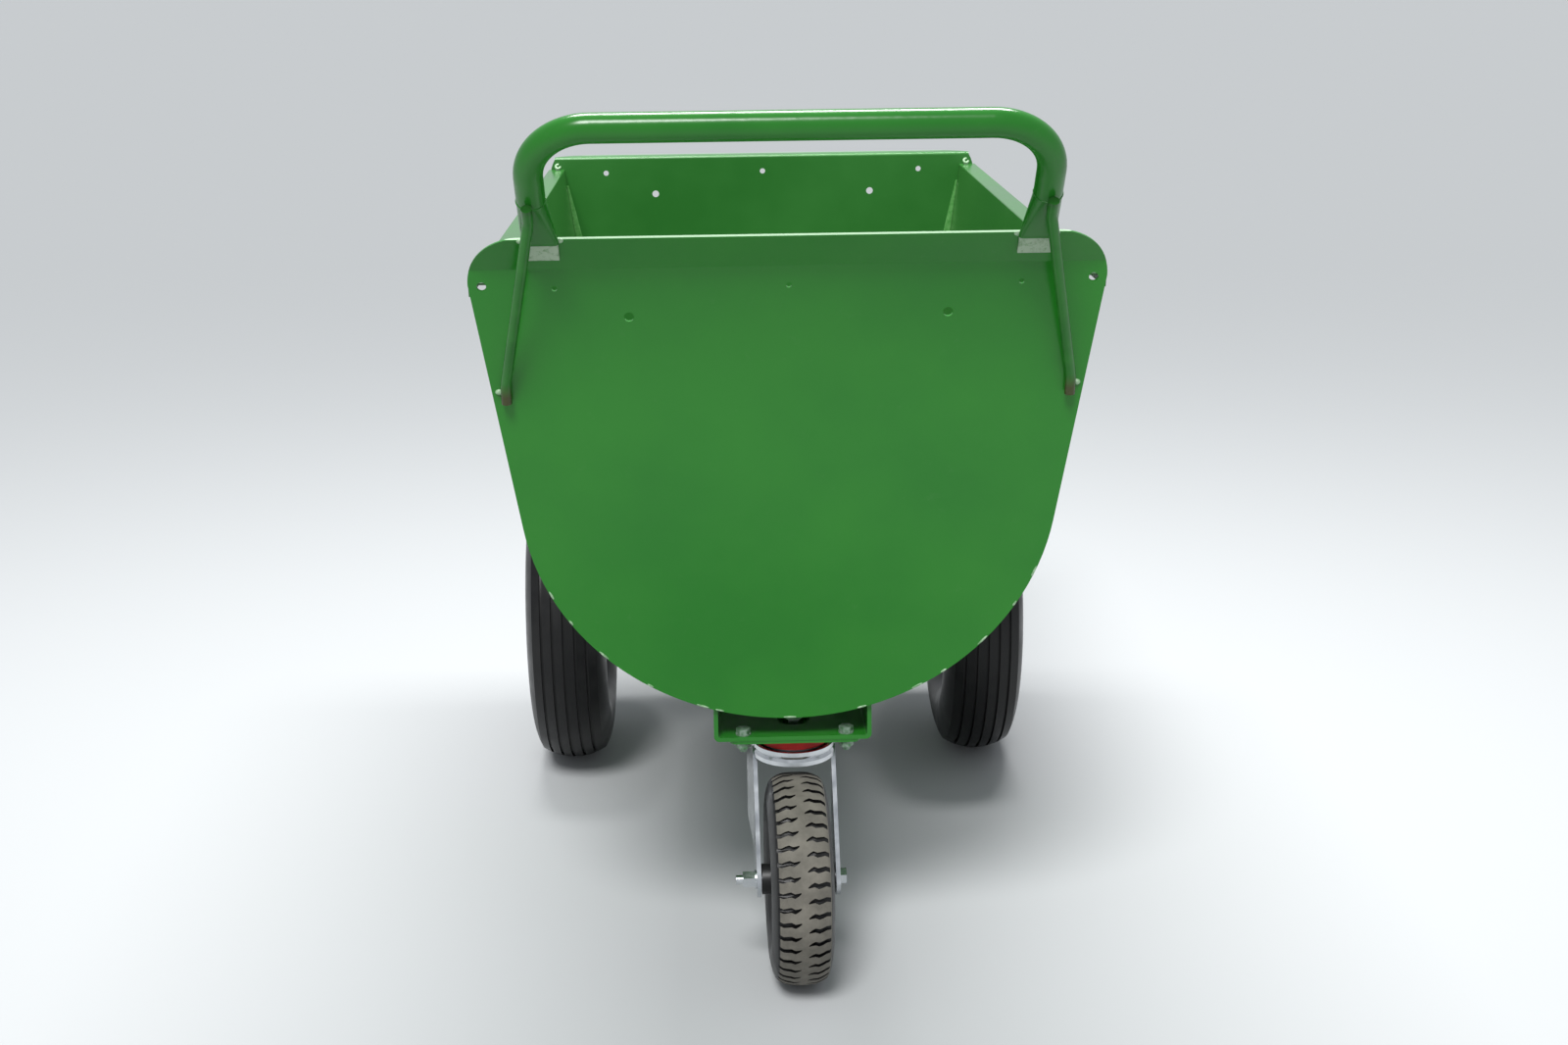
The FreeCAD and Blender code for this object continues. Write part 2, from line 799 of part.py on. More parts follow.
def rod_path(points, bend):
    """Straight runs joined by tangent arcs of one bend radius."""
    edges = []
    start = points[0]
    for before, corner, after in zip(points, points[1:], points[2:]):
        into = (corner - before).normalize()
        out = (after - corner).normalize()
        half_turn = into.getAngle(out) / 2
        back = bend * math.tan(half_turn)
        arc_start = corner - into * back
        arc_end = corner + out * back
        inward = (out - into).normalize()
        centre = corner + inward * (bend / math.cos(half_turn))
        middle = centre - inward * bend
        edges.append(Part.LineSegment(start, arc_start).toShape())
        edges.append(Part.Arc(arc_start, middle, arc_end).toShape())
        start = arc_end
    edges.append(Part.LineSegment(start, points[-1]).toShape())
    return Part.Wire(edges)


def brace(name, side):
    """A bent rod from the handle leg's back down to the rear plate's outer edge."""
    radius = size("brace_radius").number
    aside = size("brace_top_spacing")
    apart = size("handle_tube_radius") + size("brace_radius")
    leg_back = -(HANDLE_OFFSET + leg_of(apart, aside)).number
    fold_y, fold_z = FOLD_Y.number, FOLD_Z.number
    top_x = side * (size("handle_spacing") + aside).number
    foot_x = side * size("brace_foot_spacing").number
    reach = size("brace_top_reach").number
    drop = size("brace_foot_drop").number
    row = ROW_Z.number
    top = on_plane(top_x, leg_back, reach, FLANGE_LEAN, fold_y, fold_z)
    lap_top = on_plane(top_x, leg_back, reach - size("brace_top_lap").number,
                       FLANGE_LEAN, fold_y, fold_z)
    lap_foot = on_plane(foot_x, -radius, -drop, LEAN, 0, row)
    foot = on_plane(foot_x, -radius, -drop - size("brace_foot_lap").number, LEAN, 0, row)
    path = rod_path([top, lap_top, lap_foot, foot], size("brace_bend").number)
    start_way = (lap_top - top).normalize()
    ring = Part.Wire([Part.Circle(top, start_way, radius).toShape()])
    item = doc.addObject("Part::Feature", name)
    item.Label = name
    item.Shape = path.makePipeShell([ring], True, True)
    return place(item)


# What carries the main axle

def axle_beam():
    body = new_body("axle_beam")
    section = new_sketch(body, "side")
    half = size("beam_side") / 2
    inner = half - size("beam_wall")
    rectangle(section, -half, half, -half, half)
    rectangle(section, -inner, inner, -inner, inner)
    pad(body, section, BEAM_HALF * 2, symmetric=True)
    round_edges(body, size("beam_wall"), lambda middle, edge: near(middle.x, 0)
                and near(abs(middle.y), half.number) and near(abs(middle.z), half.number))
    return place(body, y=size("main_axle_reach"), z=size("wheel_radius"))


def axle_saddle(name, back_face):
    """A plate cut to the tub's round bottom, beside the beam."""
    body = new_body(name)
    outer = new_sketch(body, "front")
    wide = size("saddle_half_width")
    foot = size("saddle_foot_half_width")
    low = size("wheel_radius") - size("beam_side") / 2
    knee = size("wheel_radius") + size("beam_side")
    top = size("tub_axis_height") - leg_of(TUB_OUTER, wide)
    outline(outer, [
        (-foot, low), (foot, low), (wide, knee), (wide, top, TUB_OUTER, "right"),
        (-wide, top), (-wide, knee),
    ])
    pad(body, outer, size("saddle_sheet"), reversed_way=True)
    return place(body, y=back_face)


def axle_bushes():
    bushes = []
    inner = size("beam_side") - size("beam_wall") * 2
    for side in (-1, 1):
        block = doc.addObject("Part::Box", "BushBlock")
        block.setExpression("Length", size("bush_length").text)
        block.setExpression("Width", inner.text)
        block.setExpression("Height", inner.text)
        near_end = BEAM_HALF - size("bush_length") if side > 0 else -BEAM_HALF
        shift(block, near_end, -inner / 2, -inner / 2)
        bore = shape_cylinder("BushBore", size("axle_radius") + size("running_clearance"),
                              size("bush_length") + 2, x=near_end - 1, along=(1, 0, 0))
        bushes.append(without("Bush", block, bore))
    return place(group("axle_bushes", bushes), y=size("main_axle_reach"),
                 z=size("wheel_radius"))


def main_axle():
    body = new_body("main_axle")
    section = new_sketch(body, "side")
    circle(section, 0, 0, size("axle_radius"))
    pad(body, section, AXLE_HALF * 2, symmetric=True)
    pins = new_sketch(body, "top")
    for side in (-1, 1):
        circle(pins, side * PIN_X, 0, size("pin_radius") + size("thread_clearance"))
    cut(body, pins, size("axle_radius") * 4, symmetric=True)
    return place(body, y=size("main_axle_reach"), z=size("wheel_radius"))


def axle_washers():
    rings = []
    sheet_t = size("axle_washer_sheet")
    starts = []
    for side in (-1, 1):
        for edge in (WHEEL_X + HUB_HALF + size("axle_float"),
                     WHEEL_X - HUB_HALF - size("axle_float") - sheet_t):
            starts.append(edge if side > 0 else -edge - sheet_t)
    for start in starts:
        disc = shape_cylinder("WasherDisc", size("axle_washer_radius"), sheet_t, x=start,
                              along=(1, 0, 0))
        hole = shape_cylinder("WasherHole", size("axle_radius") + size("running_clearance"),
                              sheet_t + 2, x=start - 1, along=(1, 0, 0))
        rings.append(without("Washer", disc, hole))
    return place(group("axle_washers", rings), y=size("main_axle_reach"),
                 z=size("wheel_radius"))


def cotter_pins():
    pins = []
    half = size("axle_radius") + size("pin_overhang")
    for side in (-1, 1):
        leg = shape_cylinder("PinLeg", size("pin_radius"), half * 2, x=side * PIN_X, z=-half)
        eye = doc.addObject("Part::Torus", "PinEye")
        eye.setExpression("Radius1", (size("pin_radius") * 1.8).text)
        eye.setExpression("Radius2", (size("pin_radius") * 0.8).text)
        eye.Placement.Rotation = FreeCAD.Rotation(FreeCAD.Vector(1, 0, 0), 90)
        shift(eye, side * PIN_X, 0, half + size("pin_radius") * 1.6)
        pins.append(fused("Pin", [leg, eye]))
    return place(group("cotter_pins", pins), y=size("main_axle_reach"), z=size("wheel_radius"))


WASHER_OUT = WHEEL_X + HUB_HALF + size("axle_float") + size("axle_washer_sheet")
PIN_X = WASHER_OUT + size("pin_offset")
AXLE_HALF = WASHER_OUT + size("axle_end")
BEAM_HALF = WHEEL_X - HUB_HALF - size("axle_float") * 2 - size("axle_washer_sheet")


# Wheels, each in its own frame: X is the axle

def tyre_points(half_width, outer, bead):
    """Belly radius, shoulder half width and shoulder radius of a tyre."""
    return bead + (outer - bead) * 0.5, half_width * 0.8, outer - half_width * 0.24


def arc_through(run, rise):
    """Radius of an arc that leaves square to its rise and reaches run along, rise across."""
    return (run * run + rise * rise) / (rise * 2)


def tyre_corners(half_width, outer, bead, bead_half, lip, grooves):
    """A tyre's section: ribbed crown, rounded sidewalls and beads, open towards the rim."""
    belly, shoulder_x, shoulder_r = tyre_points(half_width, outer, bead)
    bead_width = size("bead_width")
    wall = size("tyre_wall")
    crown = arc_through(shoulder_x, outer - shoulder_r)
    flank = arc_through(belly - bead - lip, half_width - bead_half)
    upper = arc_through(shoulder_r - belly, half_width - shoulder_x)

    def crown_height(x):
        return outer - crown + leg_of(crown, x)

    corners = [(-bead_half, bead), (-bead_half, bead + lip, flank, "right"),
               (-half_width, belly, upper, "right"), (-shoulder_x, shoulder_r)]
    groove_half = size("tread_groove_width") / 2
    for index in grooves:
        middle = size("tread_groove_pitch") * index
        left_x = middle - groove_half
        right_x = middle + groove_half
        floor_r = crown_height(middle) - size("tread_groove_depth")
        corners += [(left_x, crown_height(left_x)), (left_x, floor_r),
                    (right_x, floor_r), (right_x, crown_height(right_x))]
    if not grooves:
        flat = half_width * 0.3
        corners += [(-shoulder_x * 0.7, crown_height(shoulder_x * 0.7)),
                    (-flat, outer), (flat, outer),
                    (shoulder_x * 0.7, crown_height(shoulder_x * 0.7))]
    inner_belly = half_width - wall
    inner_top = outer - wall * 1.8
    inner_shoulder = shoulder_x - wall
    inner_shoulder_r = shoulder_r - wall
    inner_bead = bead_half - bead_width
    corners += [
        (shoulder_x, shoulder_r, upper, "right"), (half_width, belly, flank, "right"),
        (bead_half, bead + lip), (bead_half, bead), (inner_bead, bead),
        (inner_bead, bead + lip), (inner_belly, belly),
        (inner_shoulder, inner_shoulder_r), (as_size(0), inner_top),
        (-inner_shoulder, inner_shoulder_r), (-inner_belly, belly),
        (-inner_bead, bead + lip), (-inner_bead, bead),
    ]
    return corners


def tube_corners(half_width, outer, bead, bead_half, lip, inset):
    """An inner tube's section, kept inside the tyre by an inset."""
    belly, shoulder_x, shoulder_r = tyre_points(half_width, outer, bead)
    bead_width = size("bead_width")
    wall = size("tyre_wall")
    low = bead + inset
    step = wall + inset
    return [
        (bead_width - bead_half + inset, low), (bead_half - bead_width - inset, low),
        (bead_half - bead_width - inset, bead + lip),
        (half_width - step, belly), (shoulder_x - step, shoulder_r - step),
        (as_size(0), outer - wall * 1.8 - inset),
        (step - shoulder_x, shoulder_r - step), (step - half_width, belly),
        (bead_width - bead_half + inset, bead + lip),
    ]


def tyre(name, half_width, outer, bead, bead_half, lip, grooves):
    return turned(name, tyre_corners(half_width, outer, bead, bead_half, lip, grooves))


def inner_tube(name, half_width, outer, bead, bead_half, lip):
    body = new_body(name)
    section = new_sketch(body, "front")
    inset = size("tube_clearance")
    for depth in (inset, inset + size("tube_wall")):
        outline(section, tube_corners(half_width, outer, bead, bead_half, lip, depth))
    turn(body, section, "H_Axis")
    return body


def rim_half(name, side, half_width, radius, lip, sheet_t, bore, bolts, valve):
    """One pressed half of a split rim; the halves meet at X = 0."""
    body = new_body(name)
    section = new_sketch(body, "front")
    corners = [
        (0, bore), (0, radius), (half_width, radius), (half_width, radius + lip),
        (half_width + sheet_t, radius + lip), (half_width + sheet_t, radius - sheet_t),
        (sheet_t, radius - sheet_t), (sheet_t, bore),
    ]
    outline(section, [(side * as_size(x), as_size(r)) for x, r in corners])
    turn(body, section, "H_Axis")
    half = half_width.number + sheet_t.number
    round_edges(body, sheet_t * 0.45, lambda middle, edge:
                near(math.hypot(middle.y, middle.z), (radius + lip).number)
                or (near(abs(middle.x), half)
                    and near(math.hypot(middle.y, middle.z), (radius - sheet_t).number)))
    bolt_count, bolt_circle, bolt_hole = bolts
    holes = new_sketch(body, "side")
    for index in range(bolt_count):
        angle = 2 * math.pi * (index + 0.5) / bolt_count
        circle(holes, bolt_circle * math.cos(angle), bolt_circle * math.sin(angle), bolt_hole)
    cut(body, holes, half_width, symmetric=True)
    if valve is not None:
        seat = new_sketch(body, "top", radius - sheet_t * 3)
        circle(seat, valve, 0, size("valve_radius") + size("valve_hole_clearance"))
        cut(body, seat, sheet_t * 5, reversed_way=True)
    return body


def valve_parts(name, x, rim, length):
    """A valve stem that points from the inner tube to the hub, with its cap."""
    stem_low = leg_of(rim + size("tube_clearance"), size("valve_radius")) - length
    stem = shape_cylinder("ValveStem", size("valve_radius"), length, x=x, z=stem_low)
    cap_low = stem_low - size("valve_cap_length") * 0.3
    outside = shape_cylinder("ValveCapBody", size("valve_cap_radius"),
                             size("valve_cap_length"), x=x, z=cap_low)
    hollow = shape_cylinder("ValveCapHollow", size("valve_radius") + size("thread_clearance"),
                            size("valve_cap_length"), x=x, z=stem_low)
    return group(name, [stem, without("ValveCap", outside, hollow)])


def ring_bolts(name, bolt_count, bolt_circle, radius, flats, head, grip, tail):
    """Hex bolts on a circle, heads on the -X side."""
    bolts = []
    for index in range(bolt_count):
        angle = 2 * math.pi * (index + 0.5) / bolt_count
        y = bolt_circle * math.cos(angle)
        z = bolt_circle * math.sin(angle)
        top = shape_hexagon("BoltHead", flats, head, x=-grip / 2 - head, y=y, z=z,
                            along=(1, 0, 0))
        shank = shape_cylinder("BoltShank", radius, grip + tail, x=-grip / 2, y=y, z=z,
                               along=(1, 0, 0))
        bolts.append(fused("Bolt", [top, shank]))
    return group(name, bolts)


def ring_nuts(name, bolt_count, bolt_circle, radius, flats, height, grip):
    nuts = []
    for index in range(bolt_count):
        angle = 2 * math.pi * (index + 0.5) / bolt_count
        y = bolt_circle * math.cos(angle)
        z = bolt_circle * math.sin(angle)
        block = shape_hexagon("NutBlock", flats, height, x=grip / 2, y=y, z=z, along=(1, 0, 0))
        bore = shape_cylinder("NutBore", radius + size("thread_clearance"), height + 2,
                              x=grip / 2 - 1, y=y, z=z, along=(1, 0, 0))
        nuts.append(without("Nut", block, bore))
    return group(name, nuts)


def ring_corners(inner, outer, start, end):
    return [(start, inner), (start, outer), (end, outer), (end, inner)]


def main_wheel(prefix, side):
    spot = {"x": side * WHEEL_X, "y": size("main_axle_reach"), "z": size("wheel_radius")}
    half_width = size("tyre_width") / 2
    half_rim = size("rim_inner_width") / 2
    hub = size("hub_radius")
    bolts = (count("rim_bolt_count"), size("rim_bolt_circle"),
             size("rim_bolt_radius") + size("bolt_hole_clearance"))
    valve_x = side * (size("rim_sheet") + size("valve_cap_radius") + 1)
    outer_side, inner_side = side, -side
    place(tyre(f"{prefix}_tyre", half_width, size("wheel_radius"), size("rim_radius"),
               half_rim, size("rim_lip"), range(-2, 3)), **spot)
    place(inner_tube(f"{prefix}_inner_tube", half_width, size("wheel_radius"),
                     size("rim_radius"), half_rim, size("rim_lip")), **spot)
    for label, rim_side, valve in (("outer", outer_side, valve_x), ("inner", inner_side, None)):
        place(rim_half(f"{prefix}_rim_{label}", rim_side, half_rim, size("rim_radius"),
                       size("rim_lip"), size("rim_sheet"), hub, bolts, valve), **spot)
    place(turned(f"{prefix}_hub", ring_corners(hub - size("hub_wall"), hub, -HUB_HALF,
                                               HUB_HALF)), **spot)
    bearing_out = hub - size("hub_wall")
    bearing_in = size("axle_radius") + size("running_clearance")
    length = size("wheel_bearing_length")
    cages = []
    for start in (HUB_HALF - length, -HUB_HALF):
        cage = shape_cylinder("CageBody", bearing_out, length, x=start, along=(1, 0, 0))
        bore = shape_cylinder("CageBore", bearing_in, length + 2, x=start - 1,
                              along=(1, 0, 0))
        cages.append(without("Cage", cage, bore))
    place(group(f"{prefix}_bearings", cages), **spot)
    grip = size("rim_sheet") * 2
    flats = size("bolt_head_flats")
    place(ring_bolts(f"{prefix}_rim_bolts", bolts[0], bolts[1], size("rim_bolt_radius"), flats,
                     size("bolt_head_height"), grip, size("nut_height") + 2), **spot)
    place(ring_nuts(f"{prefix}_rim_nuts", bolts[0], bolts[1], size("rim_bolt_radius"), flats,
                    size("nut_height"), grip), **spot)
    place(valve_parts(f"{prefix}_valve", valve_x, size("rim_radius"), size("valve_length")),
          **spot)


# Caster bracket and its bolted top plate

def caster_bracket():
    body = new_body("caster_bracket")
    section = new_sketch(body, "front")
    half = size("bracket_width") / 2
    sheet_t = size("bracket_sheet")
    top = size("tub_axis_height") - TUB_OUTER * 0.8
    outline(section, [
        (-half, PLATE_TOP), (half, PLATE_TOP), (half, top), (half - sheet_t, top),
        (half - sheet_t, PLATE_TOP + sheet_t), (sheet_t - half, PLATE_TOP + sheet_t),
        (sheet_t - half, top), (-half, top),
    ])
    pad(body, section, size("bracket_length"), reversed_way=True)
    bend = size("bracket_bend")
    round_edges(body, bend, lambda middle, edge: near(abs(middle.x), half.number)
                and near(middle.z, PLATE_TOP.number)
                and near(middle.y, size("bracket_length").number / 2))
    round_edges(body, bend - sheet_t + 1, lambda middle, edge:
                near(abs(middle.x), (half - sheet_t).number)
                and near(middle.z, (PLATE_TOP + sheet_t).number)
                and near(middle.y, size("bracket_length").number / 2))
    saddle = new_sketch(body, "front")
    circle(saddle, -size("bracket_offset"), size("tub_axis_height"), TUB_OUTER)
    cut(body, saddle, size("bracket_length") * 3, symmetric=True)
    holes = new_sketch(body, "top", PLATE_TOP - 1)
    middle_x = size("caster_offset") - size("bracket_offset")
    bolt_hole_pattern(holes, middle_x, SWIVEL_Y - BRACKET_Y)
    circle(holes, middle_x, SWIVEL_Y - BRACKET_Y, size("bracket_pin_hole_radius"))
    cut(body, holes, sheet_t + 2, reversed_way=True)
    return place(body, x=size("bracket_offset"), y=BRACKET_Y)


def bolt_hole_pattern(sketch, middle_x, middle_y):
    for x, y in bolt_spots():
        circle(sketch, middle_x + x, middle_y + y,
               size("bolt_radius") + size("bolt_hole_clearance"))


def caster_top_plate():
    body = new_body("caster_top_plate")
    face = new_sketch(body, "top")
    half_x = size("caster_plate_width") / 2
    half_y = size("caster_plate_length") / 2
    rectangle(face, -half_x, half_x, -half_y, half_y)
    bolt_hole_pattern(face, as_size(0), as_size(0))
    circle(face, 0, 0, size("kingpin_radius") + size("thread_clearance"))
    pad(body, face, size("caster_plate_sheet"))
    round_edges(body, size("caster_plate_corner"), lambda middle, edge:
                near(abs(middle.x), half_x.number) and near(abs(middle.y), half_y.number))
    return place_on_pin(body, PLATE_BOTTOM)


def place_on_pin(item, z=0):
    """Puts a piece whose frame has the kingpin's axis as Z."""
    return place(item, x=size("caster_offset"), y=SWIVEL_Y, z=z)


def bolt_spots():
    """The places of the plate's four bolts about the kingpin."""
    for side_x in (-1, 1):
        for side_y in (-1, 1):
            yield (side_x * size("caster_bolt_pitch_x") / 2,
                   side_y * size("caster_bolt_pitch_y") / 2)


def caster_plate_bolts():
    bolts = []
    for x, y in bolt_spots():
        head = shape_hexagon("BoltHead", size("bolt_head_flats"), size("bolt_head_height"),
                             x=x, y=y)
        shank = shape_cylinder("BoltShank", size("bolt_radius"), size("bolt_length"), x=x, y=y,
                               z=-size("bolt_length"))
        bolts.append(fused("Bolt", [head, shank]))
    return place_on_pin(group("caster_plate_bolts", bolts),
                        PLATE_TOP + size("bracket_sheet") + size("washer_sheet"))


def caster_plate_washers():
    washers = []
    for x, y in bolt_spots():
        disc = shape_cylinder("WasherDisc", size("washer_radius"), size("washer_sheet"), x=x,
                              y=y)
        hole = shape_cylinder("WasherHole", size("bolt_radius") + size("bolt_hole_clearance"),
                              size("washer_sheet") + 2, x=x, y=y, z=-1)
        washers.append(without("Washer", disc, hole))
    return place_on_pin(group("caster_plate_washers", washers),
                        PLATE_TOP + size("bracket_sheet"))


def caster_plate_nuts():
    nuts = []
    for x, y in bolt_spots():
        block = shape_hexagon("NutBlock", size("bolt_head_flats"), size("nut_height"), x=x, y=y)
        bore = shape_cylinder("NutBore", size("bolt_radius") + size("thread_clearance"),
                              size("nut_height") + 2, x=x, y=y, z=-1)
        nuts.append(without("Nut", block, bore))
    return place_on_pin(group("caster_plate_nuts", nuts), PLATE_BOTTOM - size("nut_height"))


# Swivel bearing: heights in the trolley's frame, radii about the swivel axis

BALL_Z = PLATE_BOTTOM - size("upper_race_depth") - size("race_half_gap")
FORK_RACE_TOP = BALL_Z - size("race_half_gap")
WEB_TOP = FORK_RACE_TOP - size("fork_race_depth")
WEB_BOTTOM = WEB_TOP - size("fork_sheet")
SMALL_BALL_Z = WEB_BOTTOM - size("ball_clearance") - size("small_ball_radius")
SMALL_RACE_TOP = SMALL_BALL_Z - size("small_ball_radius") * 0.6
SMALL_RACE_LOW = SMALL_RACE_TOP - size("small_race_depth")


def grooved_race(name, face, back, pitch, half_width, ball_z, groove):
    """A flat ring whose face carries a ball groove."""
    inner = pitch - half_width
    outer = pitch + half_width
    groove_half = leg_of(groove, as_size(face - ball_z))
    opens_down = face.number < back.number
    turn_way = "right" if opens_down else "left"
    return turned(name, [
        (inner, back), (inner, face), (pitch - groove_half, face, groove, turn_way),
        (pitch + groove_half, face), (outer, face), (outer, back),
    ], "V_Axis")


def upper_race():
    groove = size("ball_radius") + size("ball_clearance")
    return place_on_pin(grooved_race(
        "upper_race", BALL_Z + size("race_half_gap"), PLATE_BOTTOM, size("ball_pitch_radius"),
        size("race_half_width"), BALL_Z, groove))


def fork_race():
    groove = size("ball_radius") + size("ball_seat")
    return place_on_pin(grooved_race(
        "fork_race", FORK_RACE_TOP, WEB_TOP, size("ball_pitch_radius"),
        size("race_half_width"), BALL_Z, groove))


def lower_race():
    groove = size("small_ball_radius") + size("ball_seat")
    inner = size("kingpin_radius") + size("thread_clearance")
    pitch = size("small_ball_pitch_radius")
    groove_half = leg_of(groove, SMALL_RACE_TOP - SMALL_BALL_Z)
    body = turned("lower_race", [
        (inner, SMALL_RACE_LOW), (inner, SMALL_RACE_TOP),
        (pitch - groove_half, SMALL_RACE_TOP, groove, "left"),
        (pitch + groove_half, SMALL_RACE_TOP), (size("small_race_radius"), SMALL_RACE_TOP),
        (size("small_race_radius"), SMALL_RACE_LOW),
    ], "V_Axis")
    return place_on_pin(body)


def ball_ring(name, radius, pitch, total, height):
    balls = []
    for index in range(total):
        angle = 2 * math.pi * index / total
        ball = doc.addObject("Part::Sphere", "Ball")
        ball.setExpression("Radius", radius.text)
        shift(ball, pitch * math.cos(angle), pitch * math.sin(angle), 0)
        balls.append(ball)
    return place_on_pin(group(name, balls), height)


def red_seal():
    outer = size("seal_radius")
    inner = outer - size("seal_wall")
    low = PLATE_BOTTOM - size("seal_height")
    body = turned("red_seal", [(inner, low), (inner, PLATE_BOTTOM), (outer, PLATE_BOTTOM),
                               (outer, low)], "V_Axis")
    round_edges(body, size("seal_wall") * 0.4, lambda middle, edge: near(middle.z, low.number)
                and near(math.hypot(middle.x, middle.y), outer.number))
    return place_on_pin(body)


def kingpin():
    head = shape_hexagon("PinHead", size("kingpin_head_flats"), size("kingpin_head_height"),
                         z=PLATE_TOP)
    low = SMALL_RACE_LOW - size("kingpin_nut_height") - size("kingpin_end")
    shank = shape_cylinder("PinShank", size("kingpin_radius"), PLATE_TOP - low, z=low)
    item = fused("kingpin", [head, shank])
    item.Label = "kingpin"
    return place_on_pin(item)


def kingpin_nut():
    low = SMALL_RACE_LOW - size("kingpin_nut_height")
    block = shape_hexagon("PinNutBlock", size("kingpin_head_flats"), size("kingpin_nut_height"),
                          z=low)
    bore = shape_cylinder("PinNutBore", size("kingpin_radius") + size("thread_clearance"),
                          size("kingpin_nut_height") + 2, z=low - 1)
    item = without("kingpin_nut", block, bore)
    item.Label = "kingpin_nut"
    return place_on_pin(item)


# Fork and caster wheel: the fork's frame has the swivel axis as Z and the wheel at -Y

FORK_INSIDE = size("fork_width") / 2 - size("fork_sheet")


def caster_fork():
    """Two legs that open out towards the front, joined by a web with a round crown."""
    body = new_body("caster_fork")
    half = size("fork_width") / 2
    sheet_t = size("fork_sheet")
    splay = size("fork_splay")
    back = -size("fork_back")
    front = size("fork_front")
    boss = size("fork_boss_radius")
    trail = size("caster_trail")
    axle_z = CASTER_RADIUS
    radius = size("crown_radius")
    wall = size("crown_wall")
    legs = new_sketch(body, "top", axle_z - boss)
    tail = -trail - boss
    for side in (-1, 1):
        outline(legs, [
            (side * FORK_INSIDE, tail), (side * half, tail), (side * half, back),
            (side * (half + splay), front), (side * (half + splay - sheet_t), front),
            (side * FORK_INSIDE, back),
        ])
    pad(body, legs, WEB_TOP - axle_z + boss)
    profile = new_sketch(body, "side")
    rectangle(profile, tail - wall, front + wall, axle_z - boss - wall, WEB_TOP + wall)
    outline(profile, [
        (front, WEB_TOP), (back, WEB_TOP), (back, WEB_BOTTOM),
        (-trail - boss, axle_z, boss, "left"), (-trail, axle_z - boss, boss, "left"),
        (boss - trail, axle_z), (front, size("fork_knee_height")),
    ])
    cut(body, profile, half * 4, symmetric=True)
    web = new_sketch(body, "top", WEB_BOTTOM)
    outline(web, [
        (-half, back), (half, back), (half + splay, front), (-half - splay, front),
    ])
    pad(body, web, sheet_t)
    crown = new_sketch(body, "front")
    top = WEB_TOP + size("crown_rise")
    low = WEB_BOTTOM - size("crown_skirt")
    waist = radius - size("crown_waist")
    band = size("crown_band")
    middle = (top + low) / 2
    outline(crown, [
        (0, WEB_BOTTOM), (0, WEB_TOP), (radius - wall, WEB_TOP), (radius - wall, top),
        (radius, top), (radius, top - band), (waist, middle), (radius, low + band),
        (radius, low), (radius - wall, low), (radius - wall, WEB_BOTTOM),
    ])
    turn(body, crown, "V_Axis")
    bores = new_sketch(body, "side")
    circle(bores, -trail, axle_z, size("caster_bolt_radius") + size("thread_clearance"))
    cut(body, bores, half * 4, symmetric=True)
    pin_hole = new_sketch(body, "top", WEB_BOTTOM - 1)
    circle(pin_hole, 0, 0, size("kingpin_radius") + size("kingpin_clearance"))
    cut(body, pin_hole, sheet_t + 2, reversed_way=True)
    return place(body, x=size("caster_offset"), y=SWIVEL_Y, axis=(0, 0, 1), angle=SWIVEL)


def place_on_caster(item):
    """Puts a piece whose frame is the caster wheel's centre, with X as its axle."""
    return place(item, x=CASTER_X, y=CASTER_Y, z=CASTER_RADIUS, axis=(0, 0, 1),
                 angle=SWIVEL)


def caster_axle():
    half = size("fork_width") / 2
    radius = size("caster_bolt_radius")
    flats = size("caster_bolt_flats")
    height = size("caster_nut_height")
    washer_t = size("caster_washer_sheet")
    tail = washer_t + height + size("caster_bolt_end")
    head = shape_hexagon("AxleHead", flats, size("caster_bolt_head"), x=half, along=(1, 0, 0))
    shank = shape_cylinder("AxleShank", radius, half * 2 + tail, x=-half - tail,
                           along=(1, 0, 0))
    bolt = fused("caster_axle_bolt", [head, shank])
    bolt.Label = "caster_axle_bolt"
    place_on_caster(bolt)
    washer = turned("caster_axle_washer", ring_corners(
        radius + size("thread_clearance"), size("caster_washer_radius"), -half - washer_t,
        -half))
    place_on_caster(washer)
    nut_x = -half - washer_t - height
    block = shape_hexagon("AxleNutBlock", flats, height, x=nut_x, along=(1, 0, 0))
    bore = shape_cylinder("AxleNutBore", radius + size("thread_clearance"), height + 2,
                          x=nut_x - 1, along=(1, 0, 0))
    nut = without("caster_axle_nut", block, bore)
    nut.Label = "caster_axle_nut"
    place_on_caster(nut)
    sleeve_in = radius + size("thread_clearance")
    sleeve = turned("caster_axle_sleeve", ring_corners(
        sleeve_in, sleeve_in + size("caster_sleeve_wall"), -FORK_INSIDE, FORK_INSIDE))
    place_on_caster(sleeve)


